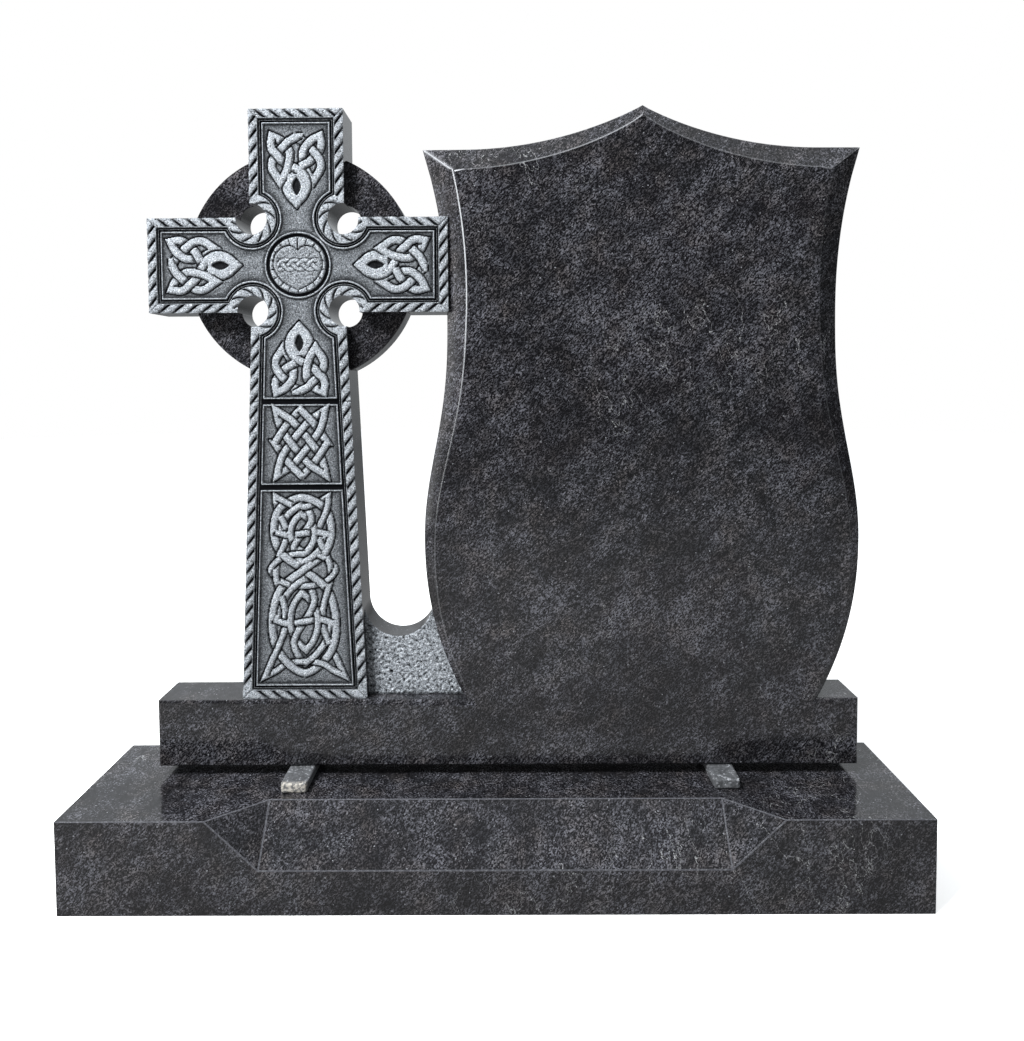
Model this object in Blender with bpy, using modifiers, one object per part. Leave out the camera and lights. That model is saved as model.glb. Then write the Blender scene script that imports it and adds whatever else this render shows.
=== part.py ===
"""Celtic cross headstone in polished granite: a base block with a stopped chamfer, two packing strips,
and one upright stone cut from a single slab, with its plinth, a carved ring cross and a shield tablet.

Metres, +Z up. The origin is under the centre of the base, and the carved face looks along -Y.
"""

import math

import bmesh
import bpy
import numpy as np
from mathutils import Matrix, Vector
from mathutils.geometry import delaunay_2d_cdt

# Base block
BASE_WIDTH = 1.524
BASE_DEPTH = 0.305
BASE_HEIGHT = 0.168
BASE_ARRIS = 0.002
STOPPED_CHAMFER_LENGTH = 0.820
STOPPED_CHAMFER_DROP = 0.088
STOPPED_CHAMFER_BACK = 0.076
STOP_LENGTH = 0.093

# Packing strips between the base and the upright stone
STRIP_THICKNESS = 0.020
STRIP_WIDTH = 0.050
STRIP_LEFT_X = -0.372
STRIP_RIGHT_X = 0.428
STRIP_LEFT_SETBACK = 0.096
STRIP_RIGHT_SETBACK = 0.106
STRIP_REAR_SHORT = 0.012
CLEARANCE = 0.0003

# Upright stone: slab and plinth
SLAB_THICKNESS = 0.102
SLAB_SETBACK = 0.164
PLINTH_WIDTH = 1.338
PLINTH_HEIGHT = 0.128
PLINTH_ARRIS = 0.003
PLINTH_OFFSET = 0.022

# Tablet, measured from its own axis and from the top of the plinth
TABLET_AXIS = 0.257
TABLET_FOOT_HALF = 0.336
TABLET_BULGE_HALF = 0.413
TABLET_BULGE_RISE = 0.310
TABLET_WAIST_HALF = 0.367
TABLET_WAIST_RISE = 0.735
TABLET_CORNER_HALF = 0.411
TABLET_CORNER_RISE = 1.043
TABLET_PEAK_RISE = 1.118
TABLET_SWEEP_START = 0.330
BEVEL_FOOT = 0.010
BEVEL_BULGE = 0.020
BEVEL_WAIST = 0.037
BEVEL_CORNER = 0.045
BEVEL_PEAK = 0.012
BEVEL_SLOPE = 0.55
FOOT_CURVE = 2.2
BELLY_CURVE = 1.5
CORNER_CURVE = 2.15

# Cross, measured from its own axis and from the top of the plinth
CROSS_AXIS = -0.389
CROSS_CENTRE_RISE = 0.8275
CROSS_SETBACK = 0.008
ARM_HALF = 0.0885
ARM_SPAN = 0.282
TOP_ARM = 0.2895
FOOT_HALF = 0.120
RING_RADIUS = 0.219
RING_SETBACK = 0.030
HOLE_RADIUS = 0.029
HOLE_OFFSET = 0.086
HOLE_ARC_POINTS = 13

# Web between the cross and the tablet
WEB_SETBACK = 0.031
GAP_RADIUS = 0.066
GAP_X = 0.178
GAP_RISE = 0.180

# Carving on the face of the cross
FIELD_DEPTH = 0.0055
ROPE_WIDTH = 0.018
ROPE_PITCH = 0.027
ROPE_SLANT = 0.021
ROPE_END = 0.018
NOTCH_DEPTH = 0.0035
NOTCH_RADIUS = 0.0042
HOLE_NOTCHES = 7
HOLE_NOTCH_TWIST = 0.5
GROOVE_WIDTH = 0.0035
FILLET_WIDTH = 0.0045
FILLET_DROP = 0.0015
RIBBON_DROP = 0.0008
RIBBON_GAP = 0.0014
OUTLINE_TOLERANCE = 0.00075
OUTLINE_WELD = 1e-4
DIVIDER_HIGH_RISE = 0.571
DIVIDER_LOW_RISE = 0.408
BOSS_RING_RADIUS = 0.0615
BOSS_RING_WIDTH = 0.0045
BOSS_RADIUS = 0.0525
HEART_WIDTH = 0.084
HEART_HEIGHT = 0.079
HEART_GROOVE = 0.003
RIM_NOTCHES = 22
RIM_NOTCH = 0.0016
RING_POINTS = 36
HEART_POINTS = 32
ARM_KNOT_REACH = 0.246
ARM_KNOT_LENGTH = 0.140
ARM_KNOT_RIBBON = 0.0140
SQUARE_KNOT_HALF_WIDTH = 0.058
SQUARE_KNOT_HALF_HEIGHT = 0.074
SQUARE_KNOT_RIBBON = 0.0125
SQUARE_KNOT_LIFT = 0.003
TALL_KNOT_RISE = 0.033
TALL_KNOT_HEIGHT = 0.360
RING_RIBBON = 0.0135
CORNER_RIBBON = 0.0105
HUB_RIBBON = 0.0085

# Places that follow from the sizes above
BASE_FRONT = -BASE_DEPTH / 2
PLINTH_BOTTOM = BASE_HEIGHT + STRIP_THICKNESS
PLINTH_TOP = PLINTH_BOTTOM + PLINTH_HEIGHT
SLAB_FRONT = BASE_FRONT + SLAB_SETBACK
SLAB_BACK = SLAB_FRONT + SLAB_THICKNESS
CROSS_FRONT = SLAB_FRONT + CROSS_SETBACK
CROSS_X = PLINTH_OFFSET + CROSS_AXIS
CROSS_Z = PLINTH_TOP + CROSS_CENTRE_RISE
TABLET_X = PLINTH_OFFSET + TABLET_AXIS
SUNK = 0.010
OVERRUN = 0.004
WELD = 1e-5
FLAT_ANGLE = 1e-4
RING_SEGMENTS = 72
HOLE_SEGMENTS = 30


def clear_scene():
    for obj in list(bpy.data.objects):
        bpy.data.objects.remove(obj, do_unlink=True)


def new_collection(name):
    collection = bpy.data.collections.new(name)
    bpy.context.scene.collection.children.link(collection)
    return collection


def stone_material(name, colour, roughness):
    material = bpy.data.materials.new(name)
    material.use_nodes = True
    shader = material.node_tree.nodes["Principled BSDF"]
    shader.inputs["Base Color"].default_value = (*colour, 1)
    shader.inputs["Roughness"].default_value = roughness
    shader.inputs["Metallic"].default_value = 0
    return material


def add_object(name, mesh, collection):
    obj = bpy.data.objects.new(name, mesh)
    collection.objects.link(obj)
    return obj


def mesh_from_bmesh(name, bm):
    bmesh.ops.recalc_face_normals(bm, faces=bm.faces)
    mesh = bpy.data.meshes.new(name)
    bm.to_mesh(mesh)
    bm.free()
    return mesh


def box(name, x0, x1, y0, y1, z0, z1, collection):
    bm = bmesh.new()
    size = Matrix.Diagonal((x1 - x0, y1 - y0, z1 - z0, 1))
    centre = Matrix.Translation(((x0 + x1) / 2, (y0 + y1) / 2, (z0 + z1) / 2))
    bmesh.ops.create_cube(bm, size=1, matrix=centre @ size)
    return add_object(name, mesh_from_bmesh(name, bm), collection)


def cylinder_along_y(name, x, z, radius, y0, y1, segments, collection):
    bm = bmesh.new()
    place = Matrix.Translation((x, (y0 + y1) / 2, z)) @ Matrix.Rotation(math.pi / 2, 4, "X")
    bmesh.ops.create_cone(bm, cap_ends=True, segments=segments, radius1=radius, radius2=radius,
                          depth=y1 - y0, matrix=place)
    return add_object(name, mesh_from_bmesh(name, bm), collection)


def flat_prism(name, outline, y0, y1, collection):
    """Gives a thickness to one closed (x, z) outline."""
    curve = bpy.data.curves.new(name + "_outline", "CURVE")
    curve.dimensions = "2D"
    curve.fill_mode = "BOTH"
    curve.extrude = (y1 - y0) / 2
    spline = curve.splines.new("POLY")
    spline.points.add(len(outline) - 1)
    for point, (x, z) in zip(spline.points, outline):
        point.co = (x, z, 0, 1)
    spline.use_cyclic_u = True
    drawn = add_object(curve.name, curve, collection)
    drawn.location.y = (y0 + y1) / 2
    drawn.rotation_euler.x = math.pi / 2
    bpy.context.view_layer.update()
    mesh = bpy.data.meshes.new_from_object(drawn.evaluated_get(bpy.context.evaluated_depsgraph_get()))
    mesh.transform(drawn.matrix_world)
    bpy.data.objects.remove(drawn)
    bm = bmesh.new()
    bm.from_mesh(mesh)
    bpy.data.meshes.remove(mesh)
    bmesh.ops.remove_doubles(bm, verts=bm.verts, dist=WELD)
    bmesh.ops.dissolve_limit(bm, angle_limit=FLAT_ANGLE, verts=bm.verts, edges=bm.edges)
    return add_object(name, mesh_from_bmesh(name, bm), collection)


def flat_pattern(shapes):
    """Overlays flat shapes, each as (depth, edge outline, hole outlines ...). A place has the last one's depth.

    The depth is kept as the face's material index, which counts the different depths from the deepest.
    """
    places, rings, owners = [], [], []
    for shape, (_, *outlines) in enumerate(shapes):
        for ring, outline in enumerate(outlines):
            rings.append(list(range(len(places), len(places) + len(outline))))
            owners.append((shape, ring > 0))
            places += [Vector(place) for place in anticlockwise(outline)]
    places, _, faces, _, _, inside = delaunay_2d_cdt(places, [], rings, 2, WELD, True)
    depths = sorted({shape[0] for shape in shapes}, reverse=True)
    bm = bmesh.new()
    verts = [bm.verts.new((place.x, 0, place.y)) for place in places]
    for face, holders in zip(faces, inside):
        found = [owners[k] for k in holders]
        holed = {shape for shape, is_hole in found if is_hole}
        solid = [shape for shape, is_hole in found if not is_hole and shape not in holed]
        if solid:
            bm.faces.new([verts[k] for k in face]).material_index = depths.index(shapes[max(solid)][0])
    bmesh.ops.delete(bm, geom=[vert for vert in bm.verts if not vert.link_faces], context="VERTS")
    bmesh.ops.remove_doubles(bm, verts=bm.verts, dist=OUTLINE_WELD)
    bmesh.ops.dissolve_limit(bm, angle_limit=FLAT_ANGLE, verts=bm.verts, edges=bm.edges, delimit={"MATERIAL"})
    return bm, depths


def terraced_cutter(name, shapes, y0, collection):
    """Cuts a flat-bottomed field, and leaves what stands in it as terraces, each kind at its own depth."""
    flat, depths = flat_pattern(shapes)
    bm = bmesh.new()
    floors = {}
    for vert in flat.verts:
        levels = {y0 + depths[face.material_index] for face in vert.link_faces}
        if vert.is_boundary:
            levels.add(y0 - SUNK)
        floors[vert] = {y: bm.verts.new((vert.co.x, y, vert.co.z)) for y in sorted(levels)}
    for face in flat.faces:
        bm.faces.new([floors[vert][y0 + depths[face.material_index]] for vert in face.verts])
    for edge in flat.edges:
        levels = [y0 + depths[face.material_index] for face in edge.link_faces] + [y0 - SUNK] * edge.is_boundary
        low, high = min(levels), max(levels)
        if low < high:
            a, b = ([vert for y, vert in floors[end].items() if low <= y <= high] for end in edge.verts)
            bm.faces.new(a + b[::-1])
    rim = [edge for edge in bm.edges if edge.is_boundary]
    bmesh.ops.holes_fill(bm, edges=rim, sides=0)
    flat.free()
    return add_object(name, mesh_from_bmesh(name, bm), collection)


def anticlockwise(outline):
    around = np.array(outline)
    following = np.roll(around, -1, axis=0)
    area = (around[:, 0] * following[:, 1] - around[:, 1] * following[:, 0]).sum()
    return around if area > 0 else around[::-1]


def boolean(target, operation, tool):
    modifier = target.modifiers.new(tool.name, "BOOLEAN")
    modifier.operation = operation
    modifier.solver = "EXACT"
    modifier.object = tool
    tool.hide_render = True
    tool.display_type = "WIRE"
    return modifier


def smooth_span(points, per_interval):
    """Centripetal Catmull-Rom curve through an open run of points, with its first point but not its last."""
    ends = np.vstack([2 * points[0] - points[1], points, 2 * points[-1] - points[-2]])
    return catmull_rom(ends, per_interval)


def catmull_rom(points, per_interval):
    result = []
    for a, b, c, d in zip(points, points[1:], points[2:], points[3:]):
        t0 = 0.0
        t1 = t0 + math.sqrt(np.linalg.norm(b - a))
        t2 = t1 + math.sqrt(np.linalg.norm(c - b))
        t3 = t2 + math.sqrt(np.linalg.norm(d - c))
        for k in range(per_interval):
            t = t1 + (t2 - t1) * k / per_interval
            ab = (t1 - t) / (t1 - t0) * a + (t - t0) / (t1 - t0) * b
            bc = (t2 - t) / (t2 - t1) * b + (t - t1) / (t2 - t1) * c
            cd = (t3 - t) / (t3 - t2) * c + (t - t2) / (t3 - t2) * d
            abc = (t2 - t) / (t2 - t0) * ab + (t - t0) / (t2 - t0) * bc
            bcd = (t3 - t) / (t3 - t1) * bc + (t - t1) / (t3 - t1) * cd
            result.append((t2 - t) / (t2 - t1) * abc + (t - t1) / (t2 - t1) * bcd)
    return result


class Strand:
    """A closed ribbon centreline. Points marked as corners are sharp tips, the rest are smooth."""

    def __init__(self, points, width, per_interval=6):
        self.width = width
        corners = [i for i, point in enumerate(points) if len(point) == 3]
        places = np.array([point[:2] for point in points], float)
        if corners:
            places = np.roll(places, -corners[0], axis=0)
            corners = [i - corners[0] for i in corners] + [len(places)]
            looped = np.vstack([places, places[:1]])
            samples = []
            self.corner_samples = set()
            for start, end in zip(corners, corners[1:]):
                self.corner_samples.add(len(samples))
                samples += smooth_span(looped[start:end + 1], per_interval)
        else:
            self.corner_samples = set()
            samples = catmull_rom(np.vstack([places[-1:], places, places[:2]]), per_interval)
        self.points = np.array(samples)
        following = np.roll(self.points, -1, axis=0)
        self.steps = following - self.points
        self.lengths = np.linalg.norm(self.steps, axis=1)
        self.arc = np.concatenate([[0], np.cumsum(self.lengths)])
        self.total = self.arc[-1]
        self.visits = []

    def direction(self, index):
        return self.steps[index] / self.lengths[index]

    def offset_vector(self, index):
        """Left-hand offset of one sample for unit distance, mitred between its two segments."""
        before, after = self.direction(index - 1), self.direction(index)
        normals = np.array([[-before[1], before[0]], [-after[1], after[0]]])
        mitre = normals.sum(axis=0) / max(1 + normals[0] @ normals[1], 0.16)
        return mitre

    def side(self, start, end, offset):
        """Points of the line at this offset between two arc lengths, which may run past the closing point."""
        result = [self.place(start, offset)]
        count = len(self.points)
        turn = math.floor(start / self.total)
        while True:
            for index in range(count):
                arc = self.arc[index] + turn * self.total
                if arc <= start + 1e-4 or arc >= end - 1e-4:
                    continue
                if self.inside_corner(index, offset):
                    continue
                result.append(self.points[index] + offset * self.offset_vector(index))
            turn += 1
            if turn * self.total >= end:
                break
        result.append(self.place(end, offset))
        return result

    def inside_corner(self, index, offset):
        """True for a sample so near a sharp tip that its inner offset would fall past the tip's own."""
        for corner in self.corner_samples - {index}:
            vector = self.offset_vector(corner)
            before, after = self.direction(corner - 1), self.direction(corner)
            turns_left = before[0] * after[1] - before[1] * after[0] > 0
            if turns_left != (offset > 0):
                continue
            reach = abs(offset) * math.sqrt(max(vector @ vector - 1, 0))
            gap = abs(self.arc[index] - self.arc[corner])
            if min(gap, self.total - gap) < reach:
                return True
        return False

    def place(self, arc, offset):
        arc = arc % self.total
        index = min(int(np.searchsorted(self.arc, arc, side="right")) - 1, len(self.points) - 1)
        direction = self.direction(index)
        normal = np.array([-direction[1], direction[0]])
        return self.points[index] + direction * (arc - self.arc[index]) + normal * offset


def find_crossings(strands):
    """Every place where two strands, or one strand and itself, cross: (strand, arc, strand, arc, sine, cosine)."""
    found = []
    for i, one in enumerate(strands):
        for j in range(i, len(strands)):
            other = strands[j]
            p, r = one.points[:, None], one.steps[:, None]
            q, s = other.points[None], other.steps[None]
            cross = r[..., 0] * s[..., 1] - r[..., 1] * s[..., 0]
            cross = np.where(abs(cross) < 1e-14, 1e-14, cross)
            d = q - p
            t = (d[..., 0] * s[..., 1] - d[..., 1] * s[..., 0]) / cross
            u = (d[..., 0] * r[..., 1] - d[..., 1] * r[..., 0]) / cross
            hits = np.argwhere((t > -1e-6) & (t < 1 + 1e-6) & (u > -1e-6) & (u < 1 + 1e-6))
            places = []
            for a, b in hits:
                if i == j and (a >= b or (b - a) % len(one.points) in (1, len(one.points) - 1)):
                    continue
                arcs = np.array([one.arc[a] + t[a, b] * one.lengths[a], other.arc[b] + u[a, b] * other.lengths[b]])
                if any(abs(arcs - place).max() < one.width / 4 for place in places):
                    continue
                places.append(arcs)
                da, db = one.direction(a), other.direction(b)
                found.append((one, arcs[0], other, arcs[1], da[0] * db[1] - da[1] * db[0], da @ db))
    return found


def weave(strands, starts_over=True):
    """Marks each crossing of each strand as over or under, so that every strand goes over and under in turn."""
    for one, arc_one, other, arc_other, sine, cosine in find_crossings(strands):
        visit = {"arc": arc_one, "sine": sine, "cosine": cosine, "width": other.width}
        partner = {"arc": arc_other, "sine": -sine, "cosine": cosine, "width": one.width}
        visit["partner"], partner["partner"] = partner, visit
        one.visits.append(visit)
        other.visits.append(partner)
    for strand in strands:
        strand.visits.sort(key=lambda visit: visit["arc"])
    for strand in strands:
        if strand.visits and "over" not in strand.visits[0]:
            spread_over_and_under(strands, strand.visits[0], starts_over)


def spread_over_and_under(strands, first, over):
    neighbours = {}
    for strand in strands:
        for k, visit in enumerate(strand.visits):
            neighbours[id(visit)] = (strand.visits[k - 1], strand.visits[(k + 1) % len(strand.visits)])
    waiting = [(first, over)]
    while waiting:
        visit, over = waiting.pop()
        if "over" in visit:
            continue
        visit["over"] = over
        waiting.append((visit["partner"], not over))
        waiting += [(near, not over) for near in neighbours[id(visit)]]


def ribbon_outlines(strands):
    """Outlines of the flat ribbon pieces: each strand is parted where it dives under another."""
    outlines = []
    for strand in strands:
        half = strand.width / 2
        unders = [visit for visit in strand.visits if not visit["over"]]
        if not unders:
            outlines.append([strand.side(0, strand.total - 1e-3, -half), strand.side(0, strand.total - 1e-3, half)])
            continue
        for k, visit in enumerate(unders):
            following = unders[(k + 1) % len(unders)]
            end_arc = following["arc"] + (strand.total if k + 1 == len(unders) else 0)
            sides = []
            for offset in (half, -half):
                start = visit["arc"] + dive(visit, -offset)
                end = end_arc - dive(following, offset)
                sides.append((start, end))
            if all(end - start > RIBBON_GAP for start, end in sides):
                left = simplified(strand.side(*sides[0], half))
                right = simplified(strand.side(*sides[1], -half))
                outlines.append([left + right[::-1]])
    return outlines


def simplified(points):
    """Leaves out the points that lie within a small distance of the straight line between those kept."""
    if len(points) < 3:
        return points
    first, last = points[0], points[-1]
    chord = last - first
    length = np.linalg.norm(chord)
    between = np.array(points[1:-1]) - first
    gaps = abs(between[:, 0] * chord[1] - between[:, 1] * chord[0]) / length
    far = int(gaps.argmax()) + 1
    if gaps[far - 1] < OUTLINE_TOLERANCE:
        return [first, last]
    return simplified(points[:far + 1])[:-1] + simplified(points[far:])


def dive(visit, offset):
    """How far from a crossing a strand's side is cut off, level with the edge of the strand above."""
    clear = visit["width"] / 2 + RIBBON_GAP
    lean = offset * visit["cosine"] * math.copysign(1, -visit["sine"])
    return (clear + lean) / max(abs(visit["sine"]), 0.26)


def mirrored(points):
    """Closes a half path, given down its right side, with its mirror image."""
    back = [(-point[0], *point[1:]) for point in reversed(points) if abs(point[0]) > 1e-9]
    return list(points) + back


def moved(points, scale_x, scale_y, x, y):
    return [(x + point[0] * scale_x, y + point[1] * scale_y, *point[2:]) for point in points]


def arm_knot(toward):
    """Trefoil-like knot with its single pointed loop toward the boss. toward is the (x, z) way to the boss."""
    half = [(0, 0.065, "tip"), (0.101, 0.120), (0.147, 0.166), (0.263, 0.286), (0.318, 0.378),
            (0.323, 0.479), (0.217, 0.650, "tip"), (0.138, 0.525), (0.106, 0.424), (0.088, 0.323),
            (0.101, 0.230), (0.212, 0.101), (0.318, 0.051, "tip"), (0.336, 0.157), (0.313, 0.240),
            (0.263, 0.286), (0.184, 0.378), (0.106, 0.424), (0, 0.479), (-0.101, 0.562),
            (-0.143, 0.691), (-0.101, 0.820), (0, 0.935, "tip")]
    path = half + [(-point[0], *point[1:]) for point in reversed(half[1:-1])]
    placed = []
    for point in path:
        along = ARM_KNOT_REACH - point[1] * ARM_KNOT_LENGTH
        across = point[0] * ARM_KNOT_LENGTH
        x = CROSS_X - toward[0] * along + toward[1] * across
        z = CROSS_Z - toward[1] * along - toward[0] * across
        placed.append((x, z, *point[2:]))
    strand = Strand(placed, ARM_KNOT_RIBBON)
    weave([strand])
    return ribbon_outlines([strand])


def square_knot():
    """Three interlaced loops: two long ones from corner to corner and a diamond."""
    long_half = [(-0.80, 0.84, "tip"), (-0.56, 0.72), (-0.33, 0.60), (0, 0.32), (0.33, 0),
                 (0.62, -0.33), (0.74, -0.60)]
    long_loop = long_half + [(-u, -v, *kind) for u, v, *kind in long_half]
    other_loop = [(-u, v, *kind) for u, v, *kind in long_loop]
    quarter = [(0, 0.86, "tip"), (0.335, 0.585), (0.585, 0.335)]
    diamond = []
    for _ in range(4):
        diamond += quarter
        quarter = [(v, -u, *kind) for u, v, *kind in quarter]
    centre_z = PLINTH_TOP + (DIVIDER_HIGH_RISE + DIVIDER_LOW_RISE) / 2 + SQUARE_KNOT_LIFT
    strands = [Strand(moved(loop, SQUARE_KNOT_HALF_WIDTH, SQUARE_KNOT_HALF_HEIGHT, CROSS_X, centre_z),
                      SQUARE_KNOT_RIBBON) for loop in (long_loop, other_loop, diamond)]
    weave(strands)
    return ribbon_outlines(strands)


def propeller():
    """Closed strand inside a round interlace, unchanged by half a turn about its hub."""
    half = [(0, 1, "tip"), (-0.45, 0.76), (-0.82, 0.40), (-1, 0.03, "tip"), (-0.60, -0.05), (0, 0),
            (0.60, 0.05), (1, -0.03, "tip"), (0.82, -0.40), (0.45, -0.76)]
    return half + [(0, -1, "tip"), (-0.27, -0.76), (-0.38, -0.50), (-0.25, -0.26), (0, 0), (0.25, 0.26),
                   (0.38, 0.50), (0.27, 0.76)]


def hub_ring():
    """Pointed oval round the hub of a round interlace."""
    half = [(-0.06, 0.68, "tip"), (0.28, 0.46), (0.48, 0.16), (0.48, -0.16), (0.32, -0.46)]
    return half + [(-u, -v, *kind) for u, v, *kind in half]


def tall_knot():
    """Two round interlaces, one above the other, on a figure of eight and a strand with four corner tips."""
    bottom = PLINTH_TOP + TALL_KNOT_RISE
    unit = TALL_KNOT_HEIGHT / 360
    eight = [(0, 355), (42, 335), (55, 295), (44, 252), (0, 216), (-44, 179), (-61, 119), (-50, 57), (0, 16),
             (50, 57), (61, 119), (44, 179), (0, 216), (-44, 252), (-55, 295), (-42, 335)]
    cornered = mirrored([(0, 337), (22, 342), (50, 357, "tip"), (49, 341), (42, 320), (32, 297), (33, 272),
                         (45, 245), (52, 221), (52, 199), (45, 172), (37, 142), (37, 104), (50, 68), (64, 38),
                         (76, 10, "tip"), (56, 20), (34, 34), (0, 38)])
    strands = [Strand(moved(eight, unit, unit, CROSS_X, bottom), RING_RIBBON),
               Strand(moved(cornered, unit, unit, CROSS_X, bottom), CORNER_RIBBON)]
    for half_width, half_height, rise in ((41, 40, 288), (48, 66, 115)):
        for path in (propeller(), hub_ring()):
            placed = moved(path, half_width * unit, half_height * unit, CROSS_X, bottom + rise * unit)
            strands.append(Strand(placed, HUB_RIBBON))
    weave(strands)
    return ribbon_outlines(strands)


def shaft_half(z, inset=0.0):
    """Half width of the shaft at this height above the centre of the cross, less an inset from its edge."""
    lean = (FOOT_HALF - ARM_HALF) / (CROSS_CENTRE_RISE - ARM_HALF)
    return ARM_HALF + lean * (-z - ARM_HALF) - inset * math.hypot(1, lean)


def cross_outline():
    foot = -CROSS_CENTRE_RISE - SUNK
    half = [(ARM_HALF, TOP_ARM), (ARM_HALF, ARM_HALF), (ARM_SPAN, ARM_HALF), (ARM_SPAN, -ARM_HALF),
            (ARM_HALF, -ARM_HALF), (shaft_half(foot), foot)]
    return moved(mirrored(half), 1, 1, CROSS_X, CROSS_Z)


def arc_points(x, z, radius, start, end, count):
    angles = np.linspace(start, end, count)
    return [(x + radius * math.cos(angle), z + radius * math.sin(angle)) for angle in angles]


def head_outline(inset, floor):
    """Outline of the carved field round the boss, with its edge a fixed inset from the edges and the holes."""
    half_arm = ARM_HALF - inset
    radius = HOLE_RADIUS + inset
    rise = math.sqrt(radius ** 2 - (half_arm - HOLE_OFFSET) ** 2)
    turn = math.atan2(rise, half_arm - HOLE_OFFSET)
    upper = arc_points(HOLE_OFFSET, HOLE_OFFSET, radius, turn, 2.5 * math.pi - turn, HOLE_ARC_POINTS)
    shaft_z = -HOLE_OFFSET
    for _ in range(8):
        shaft_x = shaft_half(shaft_z, inset)
        shaft_z = -HOLE_OFFSET - math.sqrt(radius ** 2 - (shaft_x - HOLE_OFFSET) ** 2)
    shaft_turn = math.atan2(shaft_z + HOLE_OFFSET, shaft_x - HOLE_OFFSET)
    lower = arc_points(HOLE_OFFSET, -HOLE_OFFSET, radius, turn - 0.5 * math.pi, shaft_turn + 2 * math.pi,
                       HOLE_ARC_POINTS)
    half = [(half_arm, TOP_ARM - inset)] + upper
    half += [(ARM_SPAN - inset, half_arm), (ARM_SPAN - inset, -half_arm)] + lower
    half += [(shaft_half(floor - CROSS_Z, inset), floor - CROSS_Z)]
    return moved(mirrored(half), 1, 1, CROSS_X, CROSS_Z)


def panel_outline(inset, floor, ceiling):
    half = [(shaft_half(ceiling - CROSS_Z, inset), ceiling), (shaft_half(floor - CROSS_Z, inset), floor)]
    return moved(mirrored(half), 1, 1, CROSS_X, 0)


def fillet_frames():
    """The raised line round the head and round each panel of the shaft, as (outer, inner) outlines."""
    outer = ROPE_WIDTH + GROOVE_WIDTH
    inner = outer + FILLET_WIDTH
    high = PLINTH_TOP + DIVIDER_HIGH_RISE
    low = PLINTH_TOP + DIVIDER_LOW_RISE
    foot = PLINTH_TOP + outer
    half_gap = GROOVE_WIDTH / 2
    frames = [[head_outline(outer, high + half_gap), head_outline(inner, high + half_gap + FILLET_WIDTH)]]
    for floor, ceiling in ((low + half_gap, high - half_gap), (foot, low - half_gap)):
        frames.append([panel_outline(outer, floor, ceiling),
                       panel_outline(inner, floor + FILLET_WIDTH, ceiling - FILLET_WIDTH)])
    return frames


def heart_point(angle):
    """A point of the heart's outline. Its dip and its tip are at angles 0 and pi."""
    x = 16 * math.sin(angle) ** 3
    z = 13 * math.cos(angle) - 5 * math.cos(2 * angle) - 2 * math.cos(3 * angle) - math.cos(4 * angle)
    return x * HEART_WIDTH / 32, (z + 2.5) * HEART_HEIGHT / 29


def heart_radius(angle):
    points = np.array([heart_point(t) for t in np.linspace(0, 2 * math.pi, 180, endpoint=False)])
    turns = np.arctan2(points[:, 1], points[:, 0])
    order = np.argsort(turns)
    return np.interp(angle, turns[order], np.hypot(points[:, 0], points[:, 1])[order], period=2 * math.pi)


def boss_outlines():
    """The thin ring, the heart, and the rim round the heart parted by its radial notches."""
    outlines = [[arc_points(CROSS_X, CROSS_Z, radius, 0, 2 * math.pi * (1 - 1 / RING_POINTS), RING_POINTS)
                 for radius in (BOSS_RING_RADIUS + BOSS_RING_WIDTH / 2, BOSS_RING_RADIUS - BOSS_RING_WIDTH / 2)]]
    heart = [heart_point(t) for t in np.linspace(0, 2 * math.pi, HEART_POINTS, endpoint=False)]
    outlines.append([moved(heart, 1, 1, CROSS_X, CROSS_Z)])
    step = 2 * math.pi / RIM_NOTCHES
    for k in range(RIM_NOTCHES):
        start = (k + 0.5) * step + RIM_NOTCH / 2 / BOSS_RADIUS
        end = (k + 1.5) * step - RIM_NOTCH / 2 / BOSS_RADIUS
        turns = np.linspace(start, end, 3)
        inner = [min(heart_radius(turn) + HEART_GROOVE, BOSS_RADIUS - HEART_GROOVE) for turn in turns]
        sector = [(BOSS_RADIUS * math.cos(turn), BOSS_RADIUS * math.sin(turn)) for turn in turns]
        sector += [(radius * math.cos(turn), radius * math.sin(turn)) for radius, turn in zip(inner, turns)][::-1]
        outlines.append([moved(sector, 1, 1, CROSS_X, CROSS_Z)])
    return outlines


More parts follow.
